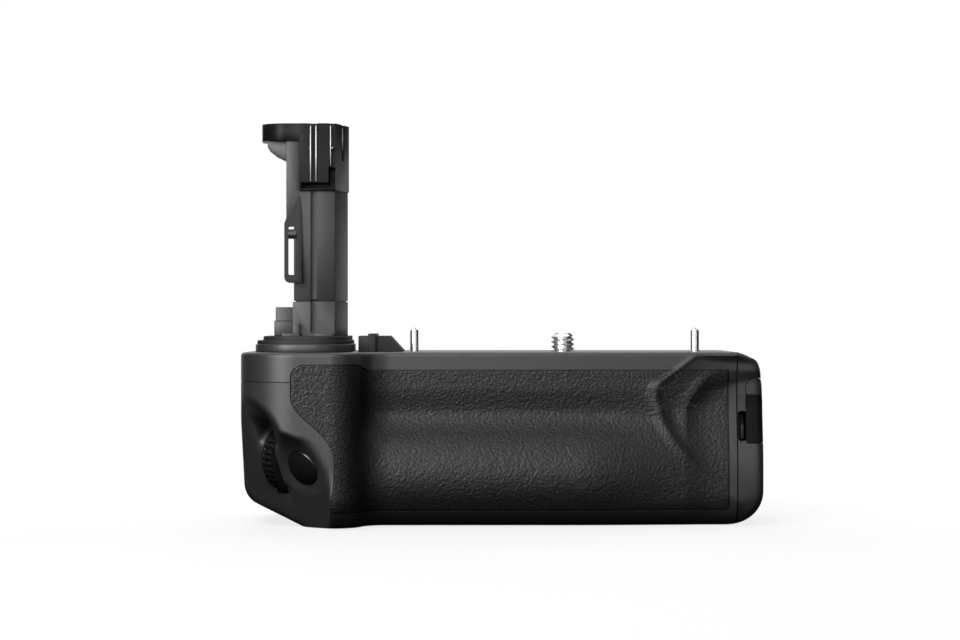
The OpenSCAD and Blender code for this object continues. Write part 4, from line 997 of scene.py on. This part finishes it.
# %% Locating pins
pin_profile = [(0, -2.2), (1.4, -2.2), (1.4, 0.0), (1.15, 0.05), (1.15, 5.2)] + arc((0.35, 5.2), 0.8, 8, 82, 6)
pin_profile = pin_profile + [(0.3, 6.34), (0, 6.4)]
left_pin = turned("locating_pin_pair", pin_profile, (-40.1, 0, 0))
right_pin = turned("right_pin", pin_profile, (35.7, 0, 0))
pick(right_pin)
left_pin.select_set(True)
bpy.context.view_layer.objects.active = left_pin
bpy.ops.object.join()
hand_over(left_pin, "locating_pins")

# %% [markdown]
# ## Column
#
# The column is built from plates: an outline is drawn as a filled circle primitive whose vertices are moved to the
# corners, and extruded. Its edges are rounded before the groove and the contact slots are cut, so that these stay
# crisp, as a core in the mould leaves them.

# %% Plates and slabs


def plate(name, outline, start, end, across="Z", edge=0.0):
    """A plate with this outline, in plan or seen from the front, pulled from start to end."""
    clear_selection()
    bpy.ops.mesh.primitive_circle_add(vertices=len(outline), fill_type="NGON")
    piece = bpy.context.object
    piece.name = name
    for vertex, (a, b) in zip(piece.data.vertices, outline):
        vertex.co = (a * MM, b * MM, start * MM) if across == "Z" else (a * MM, start * MM, b * MM)
    edit(piece)
    pull = (end - start) * MM
    bpy.ops.mesh.extrude_region_move(
        TRANSFORM_OT_translate={"value": (0, 0, pull) if across == "Z" else (0, pull, 0)}
    )
    bpy.ops.mesh.select_all(action="SELECT")
    bpy.ops.mesh.normals_make_consistent(inside=False)
    done()
    return round_edges(piece, edge) if edge else piece


def round_plan(x0, x1, y0, y1, r00, r10, r01, r11):
    """Corners of a rectangle in plan, each with its own radius."""
    points = []
    for cx, cy, r, start in (
        (x0 + r00, y0 + r00, r00, 180), (x1 - r10, y0 + r10, r10, 270),
        (x1 - r11, y1 - r11, r11, 0), (x0 + r01, y1 - r01, r01, 90),
    ):
        points += arc((cx, cy), r, start, start + 90, 10 if r > 0.5 else 2)
    return points


print("plate tools ready")

# %% Post and base
COLUMN_LEFT, POST_LEFT, BASE_LEFT, BEVEL_X, COLUMN_RIGHT = -73.1, -71.1, -71.4, -60.3, -57.6
COLUMN_FRONT, COLUMN_BACK, HEAD_LOW, FLANGE_LOW, COLUMN_TOP = -22.0, -9.0, 42.3, 55.4, 59.9
GROOVE, GROOVE_FLOOR = (-66.73, -65.14), -20.7
SHOULDER = -69.62


def column_plan(left):
    """Corners of the column in plan, with its slanting right side."""
    return [(left, COLUMN_FRONT), (BEVEL_X, COLUMN_FRONT), (COLUMN_RIGHT, COLUMN_BACK - 1),
            (COLUMN_RIGHT, COLUMN_BACK), (left, COLUMN_BACK)]


post = plate("column_shaft", column_plan(POST_LEFT), 13.4, HEAD_LOW)
cut(post, box((COLUMN_LEFT, COLUMN_FRONT, 33.6), (SHOULDER, COLUMN_BACK, FLANGE_LOW)), "UNION")
gusset = [(-72.6, 55.4), (-78.1, 55.4), (-78.1, 53.8), (-77.4, 52.6), (-76.1, 51.6), (-73.1, 50.1), (-72.6, 50.1)]
cut(post, plate("gusset", gusset, -20.5, -10.5, "Y"), "UNION")
round_edges(post, 0.22)
cut(post, box((GROOVE[0], -FAR, 10), (GROOVE[1], GROOVE_FLOOR, HEAD_LOW + 1)))
hand_over(post, "column_post", finish="post_plastic", degrees=30)
base = plate("column_foot", column_plan(BASE_LEFT), 3.6, 13.2)
cut(base, box((-71.2, -23.0, 3.6), (-69.5, -21.0, 7.3)), "UNION")
round_edges(base, 0.25)
neck = [(-70.6, -21.5), (-60.7, -21.5), (-58.1, -10.2), (-58.1, -9.5), (-70.6, -9.5)]
cut(base, plate("neck", neck, 12.0, 13.8), "UNION")
cut(base, box((GROOVE[0], -FAR, 5.0), (GROOVE[1], GROOVE_FLOOR, 20)))
for left in (-74.0, -65.4):
    cut(base, box((left, -26.5, 3.6), (left + 4.8, -21.5, 5.0), 0.2), "UNION")
hand_over(base, "column_base", finish="post_plastic", degrees=30)

# %% Head and contacts
HEAD_FRONT = -22.6
head = plate(
    "contact_head",
    [(SHOULDER, HEAD_FRONT), (BEVEL_X, HEAD_FRONT), (-57.3, -10), (-57.3, COLUMN_BACK), (SHOULDER, COLUMN_BACK)],
    HEAD_LOW, COLUMN_TOP,
)
# The flange stays a hair inside the head, so that no two faces of the union lie in one plane
HAIR = 0.02
flange_plan = round_plan(-79.9, BEVEL_X - HAIR, HEAD_FRONT + HAIR, COLUMN_BACK - HAIR, 6.8, 0.1, 2, 0.1)
cut(head, plate("flange", flange_plan, FLANGE_LOW, COLUMN_TOP - HAIR), "UNION")
round_edges(head, 0.18)
for low, high in (
    ((-67.05, -FAR, 44.5), (-64.8, -21.2, FAR)),
    ((-61.8, -FAR, 48.4), (-60.25, -21.4, FAR)),
    ((-62.0, -FAR, 42.8), (-60.2, -17.0, 48.41)),
    ((-69.2, -FAR, 42.8), (-60.2, -17.0, 44.45)),
    ((-59.3, -16.4, 50.4), (-50.0, -14.2, FAR)),
):
    cut(head, box(low, high))
hand_over(head, "column_head", finish="head_plastic", degrees=30)
blades = box((-66.85, -22.35, 44.6), (-66.5, -20.9, 59.3), 0.06, 2)
blades.name = "contact_blades"
for low, high in (
    ((-65.4, -22.35, 44.6), (-65.05, -20.9, 59.3)), ((-61.6, -22.3, 48.6), (-61.3, -21.0, 59.3)),
    ((-58.95, -15.5, 53.2), (-58.55, -15.1, 59.0)),
):
    cut(blades, box(low, high, 0.06, 2), "UNION")
ball = turned("contact_ball", arc((0, 0), 0.5, -90, 90, 12), (-60.95, -21.9, 53.4), steps=20)
cut(blades, ball, "UNION")
hand_over(blades, "head_contacts", degrees=35)

# %% Keeper for the camera's battery door
KEEPER_FRONT = -23.6
keeper_outline = [(-73.5, 19.4), (-73.1, 18.5), (-72.2, 18.1), (-68.9, 18.1), (-68.9, 37.4), (-69.4, 40.9),
                  (-71.0, 40.7), (-72.9, 35.2), (-73.5, 33.6)]
keeper = plate("door_keeper_loop", keeper_outline, KEEPER_FRONT, COLUMN_FRONT + 0.1, "Y")
for vertex in keeper.data.vertices:
    if vertex.co.y < -23 * MM and vertex.co.z > 37 * MM:
        vertex.co.y = (COLUMN_FRONT - 0.08) * MM
round_edges(keeper, 0.22, 40)
keeper_slot = box((-72.5, -FAR, 20.2), (-70.69, FAR, 32.8))
edit(keeper_slot, "DESELECT")
done()
for edge in keeper_slot.data.edges:
    low, high = (keeper_slot.data.vertices[i].co for i in edge.vertices)
    edge.select = abs(high.y - low.y) > 0.1
edit(keeper_slot, None)
bpy.ops.mesh.bevel(offset=0.4 * MM, segments=4, affect="EDGES")
done()
cut(keeper, keeper_slot)
hand_over(keeper, "door_keeper", finish="post_plastic", degrees=30)
peg_profile = [(0, 0), (1.05, 0), (1.25, 0.2), (1.25, 2.3), (0, 2.3)]
peg = turned("keeper_peg", peg_profile, (-72.7, -22.3, 30.9), (1, 0, 0), 32)
hand_over(peg, "keeper_pin", slot="case_plastic")

# %% Stepped seal round the foot
platform = plate("seal_platform", round_plan(-81.3, -56.2, -31.0, 9.0, 11.5, 9.5, 6, 3), 0, 2.1)
hand_over(round_edges(platform, 0.3, 50), "column_seal", slot="strip_plastic", degrees=40)
steps = plate("seal_steps", round_plan(-80.9, -56.6, -30.2, 8.4, 11, 9, 6, 3), 1.6, 3.1, edge=0.25)
cut(steps, plate("upper_step", round_plan(-79.3, -57.0, -28.6, 7.2, 9.5, 8, 5, 3), 2.4, 4.2, edge=0.25), "UNION")
hand_over(steps, slot="seal_rubber", body=body_of["column_seal"], degrees=40)

# %% [markdown]
# ## Battery door
#
# The end of the grip is a door with a lever in a recess and a notch in front of it for a fingernail. The door's
# outside is the piece of the body form that was split off.

# %% Cut the door
AXIS_X, AXIS_Z, LEVER_IN, LEVER_LOW, LEVER_BACK = 49.9, -8.6, 47.4, -23.7, 12.0
BARREL, LEVER_GAP, PAINTED_SHADE_LINE = 1.95, 0.16, -11.2


def lever_room(gap):
    """The lever's outline with this gap round it: a barrel on its axis, with room to swing, and the blade below."""
    room = rod((AXIS_X, -FAR, AXIS_Z), (AXIS_X, LEVER_BACK + gap, AXIS_Z), BARREL + gap * 2)
    low = LEVER_LOW - gap * 1.2
    return cut(room, box((LEVER_IN - gap, -FAR, low), (FAR, LEVER_BACK + gap, AXIS_Z + 0.3 + gap)), "UNION")


lever = cut(copy_of(end_cap, "release_lever"), lever_room(0), "INTERSECT")
cut(lever, box((AXIS_X - 2.2, -6.2, AXIS_Z - 2.6), (FAR, -0.8, AXIS_Z + 4)))
cut(end_cap, lever_room(LEVER_GAP))
cut(end_cap, box((45.0, -FAR, -23.3), (LEVER_IN + 0.3, -16.6, -15.4), 1.0))
cut(end_cap, box((46.1, -19.6, -22.9), (47.0, -16.0, -19.2), 0.15), "UNION")

# The blade and the plate beside it are darker below a fine line: their darker finishes are painted shade on the lower
# door
lever_blade = cut(copy_of(lever, "lever_blade"), box((0, -FAR, -FAR), (FAR, FAR, PAINTED_SHADE_LINE)), "INTERSECT")
cut(lever, box((0, -FAR, PAINTED_SHADE_LINE + 0.06), (FAR, FAR, FAR)), "INTERSECT")
plate_room = ((0, -FAR, LEVER_LOW - 0.25), (LEVER_IN - LEVER_GAP - 0.01, -10.0, PAINTED_SHADE_LINE))
door_plate = cut(copy_of(end_cap, "door_plate"), box(*plate_room), "INTERSECT")
cut(end_cap, box(*plate_room))
for piece in (lever, lever_blade):
    round_edges(piece, 0.22, 50, "MITER_SHARP")
hand_over(lever, "latch_lever", degrees=35)
# The blade and the door plate take darker finishes than their slots, as painted shade
hand_over(lever_blade, slot="gloss_plastic", body=body_of["latch_lever"], finish="head_plastic", degrees=35)
hand_over(end_cap, "end_cap", degrees=35)
hand_over(door_plate, slot="gloss_plastic", body=body_of["end_cap"], finish="post_plastic", degrees=35)

# %% Hand over the cases and panels
for piece, node in ((upper_case, "top_case"), (lower_case, "lower_case")):
    hand_over(piece, node, degrees=35)
hand_over(front_panel, "front_grip")
hand_over(rear_panel, "rear_grip")

# %% [markdown]
# ## Studio
#
# The photograph has a pure white surround. The floor and the world are white to the camera and to reflections, and
# the lamps set the level on the object. The floor keeps the object's shadow, and it is clear from below, so
# that the base can be looked at too.

# %% Shaders by the kind of light
WHITE = (1, 1, 1, 1)


def seen_directly(tree):
    """1 for the camera, for reflections and for light through glass."""
    path = add_node(tree, "LightPath")
    seen = path.outputs["Is Camera Ray"]
    for kind in ("Is Glossy Ray", "Is Transmission Ray"):
        either = add_node(tree, "Math")
        either.operation = "MAXIMUM"
        tree.links.new(seen, either.inputs[0])
        tree.links.new(path.outputs[kind], either.inputs[1])
        seen = either.outputs[0]
    return seen


def blended(tree, share, first, second):
    """Two shaders, mixed by the share of the second."""
    mix = add_node(tree, "MixShader")
    for socket, source in zip(mix.inputs, (share, first, second)):
        tree.links.new(source, socket)
    return mix.outputs[0]


# %% Floor
clear_selection()
bpy.ops.mesh.primitive_plane_add(size=6, location=(0, 0, (BASE - 0.05) * MM))
floor = bpy.context.object
floor.name = "floor"
floor_finish = bpy.data.materials.new("studio_floor")
floor_finish.use_nodes = True
tree = floor_finish.node_tree
paint = tree.nodes["Principled BSDF"]
paint.inputs["Base Color"].default_value = (0.85, 0.85, 0.85, 1)
paint.inputs["Roughness"].default_value = 0.9
paint.inputs["Specular IOR Level"].default_value = 0.0
glow = add_node(tree, "Emission", Color=WHITE, Strength=1.0)
shade = add_node(tree, "BsdfDiffuse", Color=(0.07, 0.07, 0.07, 1))
reach = add_node(tree, "VectorMath")
reach.operation = "LENGTH"
tree.links.new(add_node(tree, "TexCoord").outputs["Object"], reach.inputs[0])
fade = add_node(
    tree, "MapRange", Value=reach.outputs["Value"], From_Min=0.08, From_Max=0.40, To_Min=0.80, To_Max=1.0
)
seen = blended(tree, fade.outputs["Result"], paint.outputs[0], glow.outputs[0])
above = blended(tree, seen_directly(tree), shade.outputs[0], seen)
under, clear = add_node(tree, "NewGeometry"), add_node(tree, "BsdfTransparent")
sided = blended(tree, under.outputs["Backfacing"], above, clear.outputs[0])
tree.links.new(sided, tree.nodes["Material Output"].inputs["Surface"])
floor.data.materials.append(floor_finish)
print("floor at", BASE, "mm")

# %% World
world = bpy.data.worlds.new("studio")
bpy.context.scene.world = world
world.use_nodes = True
tree = world.node_tree
ambient = tree.nodes["Background"]
ambient.inputs["Color"].default_value = WHITE
ambient.inputs["Strength"].default_value = 0.06
white = add_node(tree, "Background", Color=WHITE, Strength=1.0)
surround = blended(tree, seen_directly(tree), ambient.outputs[0], white.outputs[0])
tree.links.new(surround, tree.nodes["World Output"].inputs["Surface"])
print("world", world.name)

# %% [markdown]
# The key lamp is broad and soft, in front of the object, above it and to its left. A top lamp and two lamps behind
# fill the other sides. The last three lamps are there for reflections only: a tall one at the left for the handgrip,
# a low wide one for the panel and a small one at the right. Dark cards, which only reflections show, keep the flanks
# deep.

# %% Lamps
# Each row has a place, an aim, a size, a power, and the kind of light that the lamp leaves out
LAMPS = {
    "key_lamp": ((-0.24, -0.44, 0.45), (-0.03, -0.02, -0.01), (0.46, 0.3), 3.2, None),
    "top_lamp": ((0.0, 0.25, 0.7), (-0.02, 0, 0), (0.6, 0.4), 2.0, None),
    "back_lamp": ((-0.12, 0.62, 0.30), (-0.02, 0, -0.01), (0.5, 0.4), 4.0, "visible_glossy"),
    "end_lamp": ((0.62, 0.50, 0.28), (0, 0, 0), (0.4, 0.4), 3.0, "visible_glossy"),
    "shine_lamp": ((-0.52, -0.68, 0.12), (-0.07, -0.03, 0), (0.28, 0.55), 10.0, "visible_diffuse"),
    "sheen_lamp": ((-0.24, -0.78, 0.17), (-0.02, 0, -0.01), (0.5, 0.2), 3.2, "visible_diffuse"),
    "glint_lamp": ((0.42, -0.62, 0.10), (0, 0, 0), (0.25, 0.4), 0.8, "visible_diffuse"),
}
for name, (at, aim, size, power, left_out) in LAMPS.items():
    data = bpy.data.lights.new(name, "AREA")
    data.shape = "RECTANGLE"
    data.size, data.size_y = size
    data.energy = power
    lamp = bpy.data.objects.new(name, data)
    lamp.location = at
    lamp.rotation_euler = (Vector(aim) - Vector(at)).to_track_quat("-Z", "Y").to_euler()
    bpy.context.scene.collection.objects.link(lamp)
    if left_out:
        setattr(lamp, left_out, False)
print("lamps", ", ".join(LAMPS))

# %% Dark cards
# A dark floor and walls, out of the camera's sight, with a low bright window in front for the chrome
WINDOW, BACK, REAR_WINDOW, CARD_REACH = 14, 140, 168, 950.0
CARD_FLOOR, LOW_TOP, WINDOW_TOP, BACK_LOW, CARD_TOP = BASE + 0.2, 45, 60.0, 120.0, 1200.0


def dark_card(name, first, last, low, high, floor_too):
    """A curved wall between two angles from the camera's side, with the floor in front of it where asked."""
    turn = np.radians(np.linspace(first, last, 24))
    far = np.stack([CARD_REACH * np.sin(turn), -CARD_REACH * np.cos(turn)], axis=-1)
    rows = [(far, low), (far, high)]
    if floor_too:
        rows.insert(0, (far * 0.01, low))
    card = sheet(name, np.stack([np.column_stack([p, np.full(len(p), z)]) for p, z in rows]))
    card.data.materials.append(card_finish)
    card.visible_camera = card.visible_diffuse = card.visible_shadow = card.visible_transmission = False


card_finish = bpy.data.materials.new("black_card")
card_finish.use_nodes = True
card_paint = card_finish.node_tree.nodes["Principled BSDF"]
card_paint.inputs["Base Color"].default_value = (0.01, 0.01, 0.01, 1)
card_paint.inputs["Specular IOR Level"].default_value = 0.0
dark_card("left_card", -BACK, -WINDOW, CARD_FLOOR, CARD_TOP, True)
dark_card("right_card", WINDOW, BACK, CARD_FLOOR, CARD_TOP, True)
dark_card("back_right_card", BACK, REAR_WINDOW, BACK_LOW, CARD_TOP, False)
dark_card("back_low_card", REAR_WINDOW, 360 - REAR_WINDOW, CARD_FLOOR, LOW_TOP, False)
dark_card("front_card", -WINDOW, WINDOW, WINDOW_TOP, CARD_TOP, False)
dark_card("front_floor_card", -WINDOW, WINDOW, CARD_FLOOR, CARD_FLOOR + 1, True)
bpy.context.scene.view_settings.view_transform = "Standard"
print("studio ready")

# %% Sizes
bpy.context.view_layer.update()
triangles = sum(len(p.vertices) - 2 for o in bpy.data.objects if o.type == "MESH" and not o.hide_render
                for p in o.data.polygons)
print("triangles shown", triangles)
